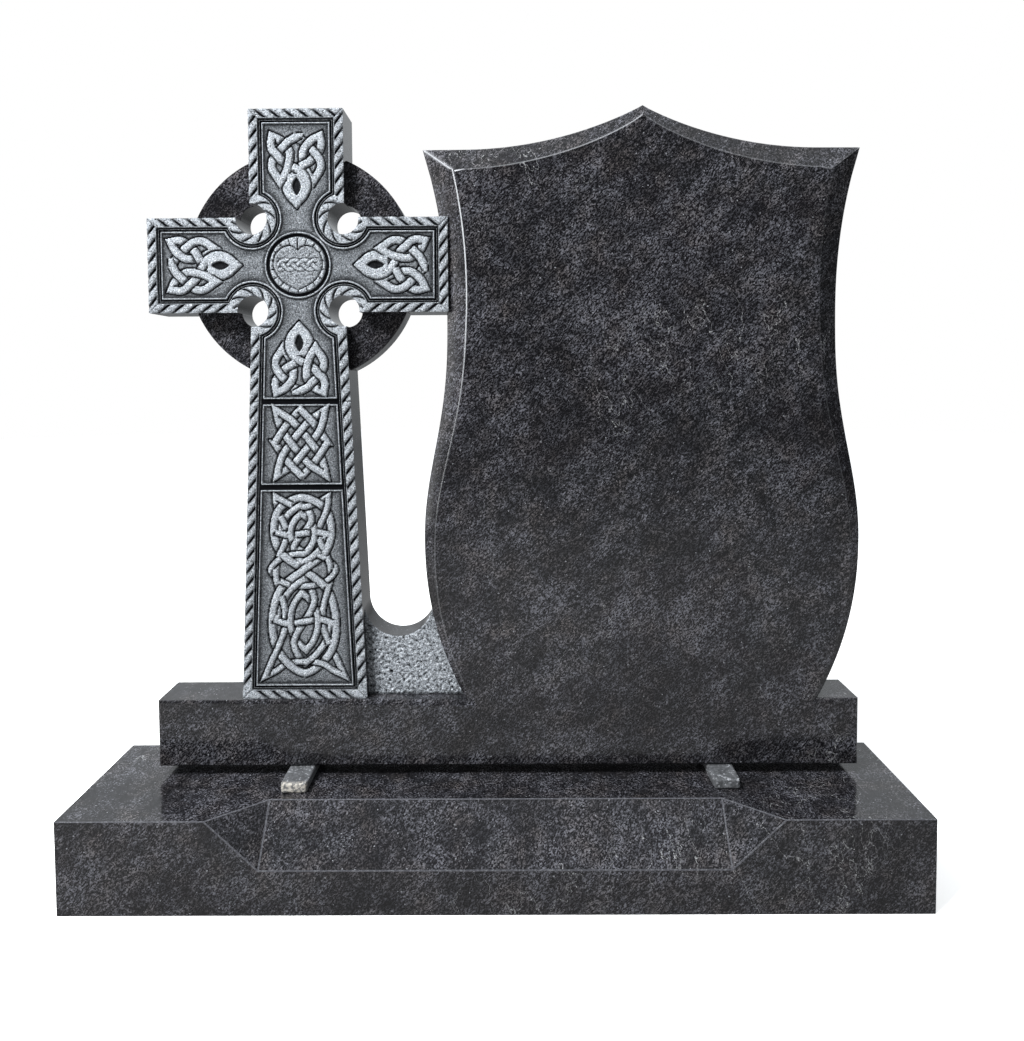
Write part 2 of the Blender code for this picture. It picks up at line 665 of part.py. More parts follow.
def rope_notches(collection):
    """Slanted V cuts across the border, which leave it looking like a laid rope."""
    bm = bmesh.new()
    foot = -CROSS_CENTRE_RISE
    hole = HOLE_OFFSET + HOLE_RADIUS
    for side in (-1, 1):
        arm = side * ARM_HALF
        tip = side * ARM_SPAN
        straight_runs = [((arm, TOP_ARM), (arm, hole), (-side, 0), 1),
                         ((side * hole, ARM_HALF), (tip, ARM_HALF), (0, -1), -1),
                         ((tip, ARM_HALF), (tip, -ARM_HALF), (-side, 0), 1),
                         ((side * hole, -ARM_HALF), (tip, -ARM_HALF), (0, 1), 1),
                         ((arm, -hole), (side * FOOT_HALF, foot + ROPE_WIDTH / 2), (-side, 0), 1)]
        for start, end, inward, lean in straight_runs:
            notch_run(bm, start, end, inward, lean)
        for level in (-1, 1):
            for turn in np.linspace(0.62 * math.pi, 1.88 * math.pi, HOLE_NOTCHES):
                across = [math.cos(turn), math.sin(turn)]
                leaning = [math.cos(turn + HOLE_NOTCH_TWIST), math.sin(turn + HOLE_NOTCH_TWIST)]
                inner, outer = HOLE_RADIUS - OVERRUN, HOLE_RADIUS + ROPE_WIDTH + GROOVE_WIDTH / 2
                place = [(side * (HOLE_OFFSET + radius * way[0]), level * (HOLE_OFFSET + radius * way[1]))
                         for radius, way in ((inner, across), (outer, leaning))]
                wedge(bm, *place)
    notch_run(bm, (-ARM_HALF, TOP_ARM), (ARM_HALF, TOP_ARM), (0, -1), -1)
    notch_run(bm, (ROPE_WIDTH - FOOT_HALF, foot), (FOOT_HALF - ROPE_WIDTH, foot), (0, 1), -1, outer_overrun=-WELD)
    return add_object("rope_notches", mesh_from_bmesh("rope_notches", bm), collection)


def notch_run(bm, start, end, inward, lean, outer_overrun=OVERRUN):
    """Notches spaced evenly along one straight border, leaning to the right (1) or to the left (-1) as seen."""
    start, end, inward = np.array(start), np.array(end), np.array(inward)
    length = np.linalg.norm(end - start)
    along = (end - start) / length
    rising = np.array([0, 1]) if inward[0] else np.array([lean, 0])
    toward = inward if inward[0] + inward[1] > 0 else -inward
    count = int((length - 2 * ROPE_END) / ROPE_PITCH) + 1
    first = (length - (count - 1) * ROPE_PITCH) / 2
    for k in range(count):
        middle = start + along * (first + k * ROPE_PITCH) + inward * ROPE_WIDTH / 2
        half = toward * ROPE_WIDTH / 2 + rising * ROPE_SLANT / 2
        reach_out = 1 + 2 * outer_overrun / ROPE_WIDTH
        reach_in = 1 + GROOVE_WIDTH / ROPE_WIDTH
        outer_sign = -1 if toward @ inward > 0 else 1
        wedge(bm, middle + outer_sign * half * reach_out, middle - outer_sign * half * reach_in)


def wedge(bm, start, end):
    """A three-sided bar between two (x, z) points of the cross, with one edge pointing into the stone."""
    start, end = np.array(start), np.array(end)
    length = float(np.linalg.norm(end - start))
    axis = Vector(((end - start)[0] / length, 0, (end - start)[1] / length))
    inwards = Vector((0, 1, 0))
    middle = (start + end) / 2
    place = Matrix((inwards.cross(axis), inwards, axis)).transposed().to_4x4()
    place.translation = (CROSS_X + middle[0], CROSS_FRONT + NOTCH_DEPTH - NOTCH_RADIUS, CROSS_Z + middle[1])
    bmesh.ops.create_cone(bm, cap_ends=True, segments=3, radius1=NOTCH_RADIUS, radius2=NOTCH_RADIUS, depth=length,
                          matrix=place)


def tablet_half(rise):
    """Half width of the tablet at this height above the plinth: a bellied foot, a waist and flaring corners."""
    if rise < TABLET_BULGE_RISE:
        share = (TABLET_BULGE_RISE - rise) / TABLET_BULGE_RISE
        return TABLET_BULGE_HALF - (TABLET_BULGE_HALF - TABLET_FOOT_HALF) * share ** FOOT_CURVE
    if rise < TABLET_WAIST_RISE:
        share = (rise - TABLET_BULGE_RISE) / (TABLET_WAIST_RISE - TABLET_BULGE_RISE)
        belly = (0.5 + 0.5 * math.cos(math.pi * share)) ** BELLY_CURVE
        return TABLET_WAIST_HALF + (TABLET_BULGE_HALF - TABLET_WAIST_HALF) * belly
    share = (rise - TABLET_WAIST_RISE) / (TABLET_CORNER_RISE - TABLET_WAIST_RISE)
    return TABLET_WAIST_HALF + (TABLET_CORNER_HALF - TABLET_WAIST_HALF) * share ** CORNER_CURVE


def tablet_top(across):
    """Height of the top edge above the plinth: level at the corners, then a hollow arc up to the peak."""
    height = TABLET_PEAK_RISE - TABLET_CORNER_RISE
    radius = (height ** 2 + TABLET_SWEEP_START ** 2) / (2 * height)
    run = max(TABLET_SWEEP_START - across, 0)
    return TABLET_CORNER_RISE + radius - math.sqrt(radius ** 2 - run ** 2)


def stone_outline():
    """Right half of the plinth and the tablet from the peak down, as (x from tablet axis, rise, bevel width)."""
    top = [(across, tablet_top(across), BEVEL_PEAK + (BEVEL_CORNER - BEVEL_PEAK)
            * math.sqrt(across / TABLET_CORNER_HALF)) for across in np.linspace(0, TABLET_SWEEP_START, 10)]
    rises = np.concatenate([np.linspace(TABLET_CORNER_RISE, TABLET_WAIST_RISE, 9)[:-1],
                            np.linspace(TABLET_WAIST_RISE, TABLET_BULGE_RISE, 12)[:-1],
                            np.linspace(TABLET_BULGE_RISE, 0, 10)])
    bevels = np.interp(rises, [0, TABLET_BULGE_RISE, TABLET_WAIST_RISE, TABLET_CORNER_RISE],
                       [BEVEL_FOOT, BEVEL_BULGE, BEVEL_WAIST, BEVEL_CORNER])
    return top + [(tablet_half(rise), rise, bevel) for rise, bevel in zip(rises, bevels)]


def upright_stone(collection):
    """Plinth and tablet as one closed body, lofted from the front edge of the bevel to its back edge."""
    half = stone_outline()
    outline = [(TABLET_X + x, PLINTH_TOP + rise, bevel) for x, rise, bevel in half]
    left = [(TABLET_X - x, PLINTH_TOP + rise, bevel) for x, rise, bevel in half[:0:-1]]
    plinth_left, plinth_right = PLINTH_OFFSET - PLINTH_WIDTH / 2, PLINTH_OFFSET + PLINTH_WIDTH / 2
    plinth = [(plinth_right, PLINTH_TOP), (plinth_right, PLINTH_BOTTOM), (plinth_left, PLINTH_BOTTOM),
              (plinth_left, PLINTH_TOP)]
    outline += [(x, z, PLINTH_ARRIS) for x, z in plinth] + left
    places = np.array([point[:2] for point in outline])
    bm = bmesh.new()
    rings = ([], [], [])
    for index, (x, z, bevel) in enumerate(outline):
        before = places[index] - places[index - 1]
        after = places[(index + 1) % len(outline)] - places[index]
        normals = [np.array([way[1], -way[0]]) / np.linalg.norm(way) for way in (before, after)]
        inward = (normals[0] + normals[1]) / (1 + normals[0] @ normals[1])
        depth = bevel * (BEVEL_SLOPE if bevel > PLINTH_ARRIS else 1)
        rings[0].append(bm.verts.new((x + bevel * inward[0], SLAB_FRONT, z + bevel * inward[1])))
        rings[1].append(bm.verts.new((x, SLAB_FRONT + depth, z)))
        rings[2].append(bm.verts.new((x, SLAB_BACK + OVERRUN, z)))
    bm.faces.new(rings[0])
    bm.faces.new(rings[2][::-1])
    for front, back in zip(rings, rings[1:]):
        for a in range(len(outline)):
            b = (a + 1) % len(outline)
            bm.faces.new((front[a], front[b], back[b], back[a]))
    return add_object("headstone", mesh_from_bmesh("headstone", bm), collection)


def web_outline():
    """The panel that ties the foot of the cross to the tablet, with the round bottom of the gap as its top edge."""
    centre_x, centre_z = CROSS_X + GAP_X, PLINTH_TOP + GAP_RISE
    left, right = CROSS_X + FOOT_HALF / 2, TABLET_X - TABLET_FOOT_HALF / 2
    bottom = PLINTH_TOP - SUNK
    arc = arc_points(centre_x, centre_z, GAP_RADIUS, 0, -math.pi, 22)
    return [(left, bottom), (right, bottom), (right, centre_z)] + arc + [(left, centre_z)]


def carving():
    """Everything that stands in the carved field: the raised lines, the boss with its heart, and the knots."""
    shapes = [(FIELD_DEPTH, head_outline(ROPE_WIDTH, PLINTH_TOP + ROPE_WIDTH))]
    shapes += [(FILLET_DROP, *rings) for rings in fillet_frames()]
    ribbons = boss_outlines() + square_knot() + tall_knot()
    for toward in ((0, -1), (1, 0), (-1, 0), (0, 1)):
        ribbons += arm_knot(toward)
    return shapes + [(RIBBON_DROP, *rings) for rings in ribbons]


def make_headstone(parts, cutters):
    stone = upright_stone(parts)
    back = SLAB_BACK + OVERRUN
    boolean(stone, "UNION", cylinder_along_y("ring_disc", CROSS_X, CROSS_Z, RING_RADIUS, SLAB_FRONT + RING_SETBACK
                                             + CROSS_SETBACK, back + OVERRUN, RING_SEGMENTS, cutters))
    boolean(stone, "UNION", flat_prism("cross_slab", cross_outline(), CROSS_FRONT, back + 2 * OVERRUN, cutters))
    boolean(stone, "UNION", flat_prism("web", web_outline(), SLAB_FRONT + WEB_SETBACK, back + 3 * OVERRUN,
                                       cutters))
    boolean(stone, "DIFFERENCE", box("back_plane", -BASE_WIDTH, BASE_WIDTH, SLAB_BACK, SLAB_BACK + SLAB_THICKNESS, 0,
                                     2 * CROSS_Z, cutters))
    for side in (-1, 1):
        for level in (-1, 1):
            name = f"hole_{'left' if side < 0 else 'right'}_{'lower' if level < 0 else 'upper'}"
            boolean(stone, "DIFFERENCE", cylinder_along_y(name, CROSS_X + side * HOLE_OFFSET,
                                                          CROSS_Z + level * HOLE_OFFSET, HOLE_RADIUS,
                                                          SLAB_FRONT - SUNK, SLAB_BACK + SUNK, HOLE_SEGMENTS, cutters))
    boolean(stone, "DIFFERENCE", terraced_cutter("carving", carving(), CROSS_FRONT, cutters))
    boolean(stone, "DIFFERENCE", rope_notches(cutters)).use_self = True
    return stone


def make_base(parts, cutters):
    """The base block. The splayed ends of its chamfer run out on the front top edge."""
    half = BASE_WIDTH / 2
    base = box("base", -half, half, BASE_FRONT, -BASE_FRONT, 0, BASE_HEIGHT, parts)
    arris = base.modifiers.new("arris", "BEVEL")
    arris.width = BASE_ARRIS
    arris.segments = 1
    bm = bmesh.new()
    for side in (-1, 1):
        inner = side * STOPPED_CHAMFER_LENGTH / 2
        front = Vector((inner, BASE_FRONT, BASE_HEIGHT - STOPPED_CHAMFER_DROP))
        top = Vector((inner, BASE_FRONT + STOPPED_CHAMFER_BACK, BASE_HEIGHT))
        stop = Vector((inner + side * STOP_LENGTH, BASE_FRONT, BASE_HEIGHT))
        for corner in (front + (front - top), top + (top - front), stop + (stop - (front + top) / 2)):
            bm.verts.new(corner)
    bmesh.ops.convex_hull(bm, input=bm.verts)
    boolean(base, "DIFFERENCE", add_object("stopped_chamfer", mesh_from_bmesh("stopped_chamfer", bm), cutters))
    return base


def make_strip(name, x, setback, parts):
    strip = box(name, x - STRIP_WIDTH / 2, x + STRIP_WIDTH / 2, BASE_FRONT + setback, SLAB_BACK - STRIP_REAR_SHORT,
                BASE_HEIGHT + CLEARANCE, PLINTH_BOTTOM - CLEARANCE, parts)
    arris = strip.modifiers.new("arris", "BEVEL")
    arris.width = STRIP_THICKNESS / 10
    arris.segments = 1
    return strip


def main():
    clear_scene()
    parts = new_collection("celtic_cross_headstone")
    cutters = new_collection("cutters")
    polished = stone_material("polished_granite", (0.03, 0.032, 0.038), 0.12)
    carved = stone_material("polished_and_carved_granite", (0.045, 0.048, 0.055), 0.25)
    snapped = stone_material("grey_packing_stone", (0.35, 0.35, 0.34), 0.6)
    make_base(parts, cutters).data.materials.append(polished)
    make_headstone(parts, cutters).data.materials.append(carved)
    for name, x, setback in (("packing_strip_left", STRIP_LEFT_X, STRIP_LEFT_SETBACK),
                             ("packing_strip_right", STRIP_RIGHT_X, STRIP_RIGHT_SETBACK)):
        make_strip(name, x, setback, parts).data.materials.append(snapped)


if __name__ == "__main__":
    main()
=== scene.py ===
"""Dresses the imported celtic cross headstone: polished granite, a carved and blasted cross, and a pale stage.

Metres, +Z up, the carved face looking along -Y. Places on the cross are given as (u, v) from its centre.
"""

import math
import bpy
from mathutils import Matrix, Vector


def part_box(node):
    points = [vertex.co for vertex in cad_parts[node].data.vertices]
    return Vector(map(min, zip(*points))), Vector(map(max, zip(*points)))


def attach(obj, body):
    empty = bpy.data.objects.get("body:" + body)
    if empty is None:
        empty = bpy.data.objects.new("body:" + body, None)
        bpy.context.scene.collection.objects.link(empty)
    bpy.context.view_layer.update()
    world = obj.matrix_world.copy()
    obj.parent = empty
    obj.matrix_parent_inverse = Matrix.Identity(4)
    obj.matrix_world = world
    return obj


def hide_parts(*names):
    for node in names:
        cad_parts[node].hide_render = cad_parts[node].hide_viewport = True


bl_info = {
    "name": "Celtic Cross Headstone",
    "version": (1, 0, 0),
    "blender": (4, 5, 0),
    "location": "View3D > Sidebar > Headstone",
    "description": "Builds a granite memorial with a carved ring cross and a tablet round its CAD frame",
    "category": "Add Mesh",
}

import bmesh
import bpy
import numpy as np
from mathutils import Matrix, Vector, noise

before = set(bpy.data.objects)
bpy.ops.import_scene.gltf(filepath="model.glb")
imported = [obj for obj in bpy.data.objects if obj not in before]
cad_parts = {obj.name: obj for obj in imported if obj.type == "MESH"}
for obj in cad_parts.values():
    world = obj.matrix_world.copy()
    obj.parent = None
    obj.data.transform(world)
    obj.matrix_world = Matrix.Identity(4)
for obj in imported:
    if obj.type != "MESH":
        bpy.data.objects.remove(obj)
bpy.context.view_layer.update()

# Places that the CAD gives, in metres
BASE_LOW, BASE_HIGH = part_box("base")
PLINTH_OFFSET = 0.022
PLINTH_WIDTH = 1.338
PLINTH_BOTTOM = 0.188
PLINTH_TOP = 0.316
SLAB_FRONT = 0.0115
SLAB_BACK = 0.1135
CROSS_FRONT = 0.0195
CROSS_X = -0.367
CROSS_Z = 1.1435
CROSS_RISE = CROSS_Z - PLINTH_TOP
TABLET_X = 0.279
RING_FRONT = SLAB_FRONT + 0.038
WEB_FRONT = SLAB_FRONT + 0.031
GAP_X = CROSS_X + 0.178
GAP_Z = PLINTH_TOP + 0.180
GAP_RADIUS = 0.066
HIGH_DIVIDER = PLINTH_TOP + 0.571 - CROSS_Z
LOW_DIVIDER = PLINTH_TOP + 0.408 - CROSS_Z

# How the pieces meet. The backs lie a hair apart, so that none of them shares a plane with another
FACE_DEPTH = 0.008
SUNK = 0.004
CROSS_BACK = SLAB_BACK - 0.0001
RING_BACK = SLAB_BACK - 0.0002
WEB_BACK = SLAB_BACK - 0.0003
WELD = 1e-5
SHARP_ANGLE = math.radians(38)

# Shapes
CORNER_RUN = 0.052
RIM_SLOPE = 0.55
PLINTH_EASE = 0.003
THIN_EDGE = 0.0015
PACKING_CELL = 0.0032
PACKING_EDGE = 0.0035
PACKING_NOSE = 0.010
WEB_CELL = 0.0015
WEB_LEFT = CROSS_X + 0.100
WEB_RIGHT = TABLET_X - 0.320

# The carved face, as depths behind its front and distances across it
GROOVE_START = 0.0008
DIVIDER_HALF = 0.0022
MOAT_DEPTH = 0.0056
SLIT_DEPTH = 0.0050
SEAM_DEPTH = 0.0050
BEAD_FOOT = 0.0034
BOSS_REACH = 0.0075
ARM_KNOT_REACH = 0.246
ARM_KNOT_SIZE = 0.140
TOWARD_BOSS = ((0, -1), (1, 0), (-1, 0), (0, 1))
HOLE_ROPE_START = 0.62 * math.pi
HOLE_ROPE_PITCH = (1.88 - 0.62) * math.pi / 6
FADE = 0.0042
SEED = 7

# Stage: each light's name, place, target, size and whether the polish mirrors it
LIGHTS = (("key", (-1.75, -1.75, 3.6), (0, 0, 0.8), (1.0, 1.0), False),
          ("fill", (1.6, -3.4, 1.6), (0, 0, 0.7), (2.0, 2.0), False),
          ("side", (-3.2, -1.0, 1.1), (0, 0, 0.9), (1.2, 1.6), True),
          ("edge", (-2.55, -2.35, 1.3), (-0.1, 0, 1.0), (0.35, 1.8), True))
FLOOR_RADIUS = 14.0
FLOOR_DIMMED = 0.30
CAMERA_PLACE = (0.03589, -1.56172, 0.93036)
CAMERA_YAW = math.radians(-0.25)
CAMERA_PITCH = math.radians(2.68)
CAMERA_ROLL = math.radians(0.32)
CAMERA_SHIFT = (0.00239, -0.1013)
SENSOR_WIDTH = 36


def length(name, description, default):
    return bpy.props.FloatProperty(name=name, description=description, default=default, min=0, unit="LENGTH",
                                   precision=4)


def colour(name, description, default):
    return bpy.props.FloatVectorProperty(name=name, description=description, default=default, min=0, max=1,
                                         size=3, subtype="COLOR")


def power(name, description, default):
    return bpy.props.FloatProperty(name=name, description=description, default=default, min=0, unit="POWER")


class HeadstoneBase(bpy.types.PropertyGroup):
    chamfer_half: length("Chamfer Half Length", "Half the length of the chamfer along its foot", 0.410)
    chamfer_drop: length("Chamfer Drop", "How far the chamfer reaches down the front", 0.088)
    chamfer_back: length("Chamfer Back", "How far the chamfer reaches back on the top", 0.076)
    chamfer_stop: length("Chamfer Stop", "How far each splayed end runs out along the front edge", 0.093)
    arris: length("Arris", "Width of the eased edges of the base", 0.0015)


class HeadstoneTablet(bpy.types.PropertyGroup):
    foot_half: length("Foot Half Width", "Half the tablet's width where it stands on the plinth", 0.336)
    bulge_half: length("Belly Half Width", "Half the width at the widest place of the lower part", 0.413)
    bulge_rise: length("Belly Rise", "Height of the belly above the plinth", 0.310)
    waist_half: length("Waist Half Width", "Half the width at the waist", 0.367)
    waist_rise: length("Waist Rise", "Height of the waist above the plinth", 0.735)
    corner_half: length("Corner Half Width", "Half the width at the top corners", 0.411)
    corner_rise: length("Corner Rise", "Height of the top corners above the plinth", 1.043)
    peak_rise: length("Peak Rise", "Height of the peak above the plinth", 1.118)
    sweep_start: length("Sweep Start", "Distance from the axis at which the top edge starts to rise", 0.330)
    arris: length("Arris", "Width of the eased edges of the polished stone", 0.0022)


class HeadstoneCross(bpy.types.PropertyGroup):
    arm_half: length("Arm Half Width", "Half the width of an arm", 0.0885)
    arm_span: length("Arm Reach", "Distance from the centre to the end of a side arm", 0.282)
    top_arm: length("Top Arm Reach", "Distance from the centre to the top", 0.2895)
    foot_half: length("Foot Half Width", "Half the width of the shaft at its foot", 0.120)
    ring_radius: length("Ring Radius", "Outer radius of the ring", 0.219)
    hole_radius: length("Hole Radius", "Radius of the four round holes", 0.029)
    hole_offset: length("Hole Offset", "Distance of a hole from both axes of the cross", 0.086)


class HeadstoneCarving(bpy.types.PropertyGroup):
    cell: length("Cell", "Spacing of the points of the carved face", 0.00135)
    ground_depth: length("Ground Depth", "Depth of the blasted ground below the border", 0.0034)
    groove_depth: length("Groove Depth", "Depth of the polished groove inside the border", 0.0052)
    rope_width: length("Rope Width", "Width of the rope border", 0.017)
    rope_pitch: length("Rope Pitch", "Distance from one lay of the rope to the next", 0.027)
    rope_slant: length("Rope Slant", "How far a notch leans over the width of the rope", 0.021)
    notch_depth: length("Notch Depth", "Depth of the notches between the lays of the rope", 0.0034)
    groove_width: length("Groove Width", "Width of the groove inside the border", 0.0072)
    bead: length("Bead", "Radius of the raised line round each panel", 0.0013)
    thin_bead: length("Thin Bead", "Radius of the line between the rope and the groove", 0.0006)
    moat: length("Moat", "Width of the dark line cut round each ribbon", 0.0026)
    ribbon_drop: length("Ribbon Drop", "Depth of the ribbons below the border", 0.0009)
    dip: length("Dip", "How far a ribbon dives where it passes under another", 0.0026)
    boss_radius: length("Boss Radius", "Radius of the disc round the heart", 0.0522)
    boss_ring: length("Boss Ring Radius", "Radius of the raised line round the boss", 0.0608)
    plait: length("Plait Strand", "Half the width of a strand of the plait across the heart", 0.0036)
    stipple: length("Stipple", "Height of the pits and grains of the blasted ground", 0.00045)


class HeadstoneColours(bpy.types.PropertyGroup):
    dark: colour("Dark Crystals", "Most of the polished granite", (0.0035, 0.0035, 0.0042))
    grey: colour("Grey Crystals", "The lighter crystals of the polished granite", (0.100, 0.102, 0.118))
    brown: colour("Brown Crystals", "The warmer crystals of the polished granite", (0.090, 0.083, 0.085))
    fleck: colour("Flecks", "The few bright crystals", (0.16, 0.165, 0.18))
    blasted: colour("Blasted Stone", "Raised parts of the carved face", (0.27, 0.295, 0.325))
    vein: colour("Veins", "The few thin pale veins of the polished granite", (0.40, 0.41, 0.42))
    # Painted highlight: the pale colour of the lines along the tablet's rim arris and top corners, and along
    # the base's eased edges
    arris_highlight: colour("Worn Arris", "The sharp inner edge of the tablet's sloping rim", (0.55, 0.57, 0.60))
    # Bright grains: white crystals of the blasted stone, made strong enough to stand in as painted highlights
    # on the raised parts
    sparkle: colour("Bright Grains", "Bright grains of the carved face", (0.80, 0.84, 0.88))
    ground: colour("Groove Stone", "Grooves of the carved face", (0.0025, 0.0028, 0.0036))
    packing: colour("Packing Stone", "The grey strips under the upright stone", (0.13, 0.136, 0.146))


class HeadstoneStage(bpy.types.PropertyGroup):
    floor: colour("Floor", "Floor and backdrop", (0.92, 0.92, 0.92))
    key: power("Key Light", "Power of the high light on the left", 330)
    fill: power("Fill Light", "Power of the light on the right", 20)
    side: power("Side Light", "Power of the low panel on the left", 22)
    edge: power("Edge Light", "Power of the strip that the sharp edges mirror", 26)
    sky: bpy.props.FloatProperty(name="Sky", description="Strength of the light from all round", default=1.2,
                                 min=0)
    lens: bpy.props.FloatProperty(name="Lens", description="Focal length of the camera", default=29.468,
                                  unit="CAMERA", subtype="DISTANCE_CAMERA")


class Graph:
    """A material's node tree, written as short calls. A socket takes a number, a colour or another output."""

    def __init__(self, name):
        self.material = bpy.data.materials.new(name)
        self.material.use_nodes = True
        self.tree = self.material.node_tree
        self.shader = self.tree.nodes["Principled BSDF"]
        self.coordinates = self.tree.nodes.new("ShaderNodeTexCoord").outputs["Object"]

    def node(self, kind, output=0, settings=None, **sockets):
        made = self.tree.nodes.new("ShaderNode" + kind)
        for name, value in (settings or {}).items():
            setattr(made, name, value)
        self.fill(made, sockets)
        return made.outputs[output]

    def fill(self, made, sockets):
        for name, value in sockets.items():
            key = int(name[1:]) if name[0] == "i" and name[1:].isdigit() else name.replace("_", " ")
            socket = made.inputs[key]
            if isinstance(value, bpy.types.NodeSocket):
                self.tree.links.new(value, socket)
            elif isinstance(value, tuple) and len(value) == 3 and socket.type == "RGBA":
                socket.default_value = (*value, 1)
            else:
                socket.default_value = value

    def math(self, operation, a, b=0.0):
        return self.node("Math", 0, {"operation": operation}, i0=a, i1=b)

    def noise(self, scale, detail=2.0, vector=None):
        return self.node("TexNoise", 0, None, Vector=vector or self.coordinates, Scale=scale, Detail=detail,
                         Roughness=0.55)

    def crystals(self, scale):
        """One random value for each cell of a crystal pattern."""
        cells = self.node("TexVoronoi", 1, None, Vector=self.coordinates, Scale=scale)
        return self.node("SeparateColor", 0, None, Color=cells)

    def attribute(self, name):
        return self.node("Attribute", 2, {"attribute_name": name})

    def spread(self, value, low, high, to_low, to_high):
        return self.node("MapRange", 0, None, i0=value, i1=low, i2=high, i3=to_low, i4=to_high)

    def mix(self, factor, a, b, blend="MIX"):
        return self.node("Mix", 2, {"data_type": "RGBA", "blend_type": blend}, i0=factor, i6=a, i7=b)

    def turned(self, angle, stretch):
        return self.node("Mapping", 0, {"vector_type": "TEXTURE"}, Vector=self.coordinates,
                         Rotation=(0, angle, 0), Scale=stretch)

    def finish(self, bump, strength, distance, **sockets):
        if bump is not None:
            sockets["Normal"] = self.node("Bump", 0, None, Strength=strength, Distance=distance, Height=bump)
        self.fill(self.shader, sockets)
        return self.material


def once(name, make):
    """The material of this name, made the first time that it is asked for."""
    return bpy.data.materials.get(name) or make(name)


def granite():
    return once("crystal_granite", polished_granite)


def highlit_arris_granite():
    return once("eased_granite", eased_granite)


def carved_stone():
    return once("blasted_granite", blasted_granite)


def polished_granite(name):
    """Near-black granite: crystals of two sizes, clouds, slanting streaks, few bright flecks and pale veins.

    The attributes arris and mitre brighten the edges of the tablet's sloping rim with a painted highlight,
    strongest on the left.
    """
    colours = bpy.context.scene.headstone_colours
    graph = Graph(name)
    fine = graph.crystals(500.0)
    coarse = graph.spread(graph.noise(1.0, 4.0, graph.turned(math.radians(40), (0.0026, 0.0042, 0.0056))),
                          0.40, 0.64, 0.0, 1.0)
    crystals = graph.math("MULTIPLY", graph.spread(fine, 0.12, 1.0, 0.02, 1.60), coarse)
    clouds = graph.math("MULTIPLY", graph.spread(graph.noise(24.0, 6.0), 0.34, 0.66, 0.40, 1.25),
                        graph.spread(graph.noise(5.5, 2.0), 0.36, 0.62, 0.55, 1.25))
    streaks = graph.spread(graph.noise(1.0, 4.0, graph.turned(math.radians(52), (0.009, 0.020, 0.042))),
                           0.34, 0.68, 0.45, 1.45)
    share = graph.math("MULTIPLY", crystals, graph.math("MULTIPLY", clouds, streaks))
    warm = graph.spread(graph.noise(19.0, 3.0), 0.42, 0.70, 0.0, 1.0)
    light = graph.mix(warm, tuple(colours.grey), tuple(colours.brown))
    stone = graph.mix(share, tuple(colours.dark), light)
    stone = graph.mix(graph.math("GREATER_THAN", fine, 0.9982), stone, tuple(colours.fleck))
    wander = graph.noise(7.0, 4.0, graph.turned(math.radians(-20), (0.5, 1, 1)))
    line = graph.math("ABSOLUTE", graph.math("SUBTRACT", wander, 0.5))
    vein = graph.math("MULTIPLY", graph.spread(line, 0.0, 0.0034, 0.85, 0.0),
                      graph.spread(graph.noise(2.6, 1.0), 0.56, 0.62, 0.0, 1.0))
    vein = graph.math("MULTIPLY", vein, graph.spread(graph.noise(420.0, 2.0), 0.45, 0.60, 0.1, 1.0))
    stone = graph.mix(vein, stone, tuple(colours.vein))
    # Painted highlight on the rim's inner edge and on the folds of the top corners, read from the attributes
    # arris and mitre
    mitre = graph.math("POWER", graph.attribute("mitre"), 26.0)
    arris_highlight = graph.math("ADD", graph.attribute("arris"), mitre)
    stone = graph.mix(arris_highlight, stone, tuple(colours.arris_highlight))
    gloss = graph.spread(graph.noise(90.0, 3.0), 0.3, 0.7, 0.10, 0.18)
    return graph.finish(graph.noise(240.0, 3.0), 0.04, 0.0005, Base_Color=stone, Roughness=gloss,
                        Specular_IOR_Level=0.42)


def eased_granite(name):
    """The narrow arris of the base, pale with brighter grains: a painted highlight line along every eased
    edge.
    """
    colours = bpy.context.scene.headstone_colours
    graph = Graph(name)
    grain = graph.spread(graph.noise(300.0, 3.0), 0.48, 0.66, 0.0, 0.12)
    stone = graph.mix(grain, tuple(0.5 * share for share in colours.grey), tuple(colours.arris_highlight))
    return graph.finish(None, 0, 0, Base_Color=stone, Roughness=0.35, Specular_IOR_Level=0.42)


def blasted_granite(name):
    """Carved and sandblasted stone. Its attribute tone runs from dark grooves to pale raised parts, and also
    carries the painted shade that the carving lays in.
    """
    colours = bpy.context.scene.headstone_colours
    graph = Graph(name)
    tone = graph.attribute("tone")
    grain = graph.spread(graph.noise(390.0, 4.0), 0.36, 0.64, 0.12, 1.60)
    patches = graph.spread(graph.noise(110.0, 3.0), 0.3, 0.7, 0.82, 1.14)
    share = graph.math("MULTIPLY", tone, graph.math("MULTIPLY", grain, patches))
    stone = graph.mix(share, tuple(colours.ground), tuple(colours.blasted))
    # Bright grains on the raised parts only: real crystals, strengthened into painted highlights
    sparkle = graph.math("MULTIPLY", graph.spread(graph.noise(620.0, 2.0), 0.56, 0.68, 0.0, 0.9), tone)
    stone = graph.mix(sparkle, stone, tuple(colours.sparkle))
    rough = graph.spread(tone, 0.0, 0.5, 0.34, 0.52)
    return graph.finish(graph.noise(390.0, 4.0), 0.75, 0.0012, Base_Color=stone, Roughness=rough,
                        Specular_IOR_Level=graph.spread(tone, 0.0, 0.6, 0.04, 0.45))


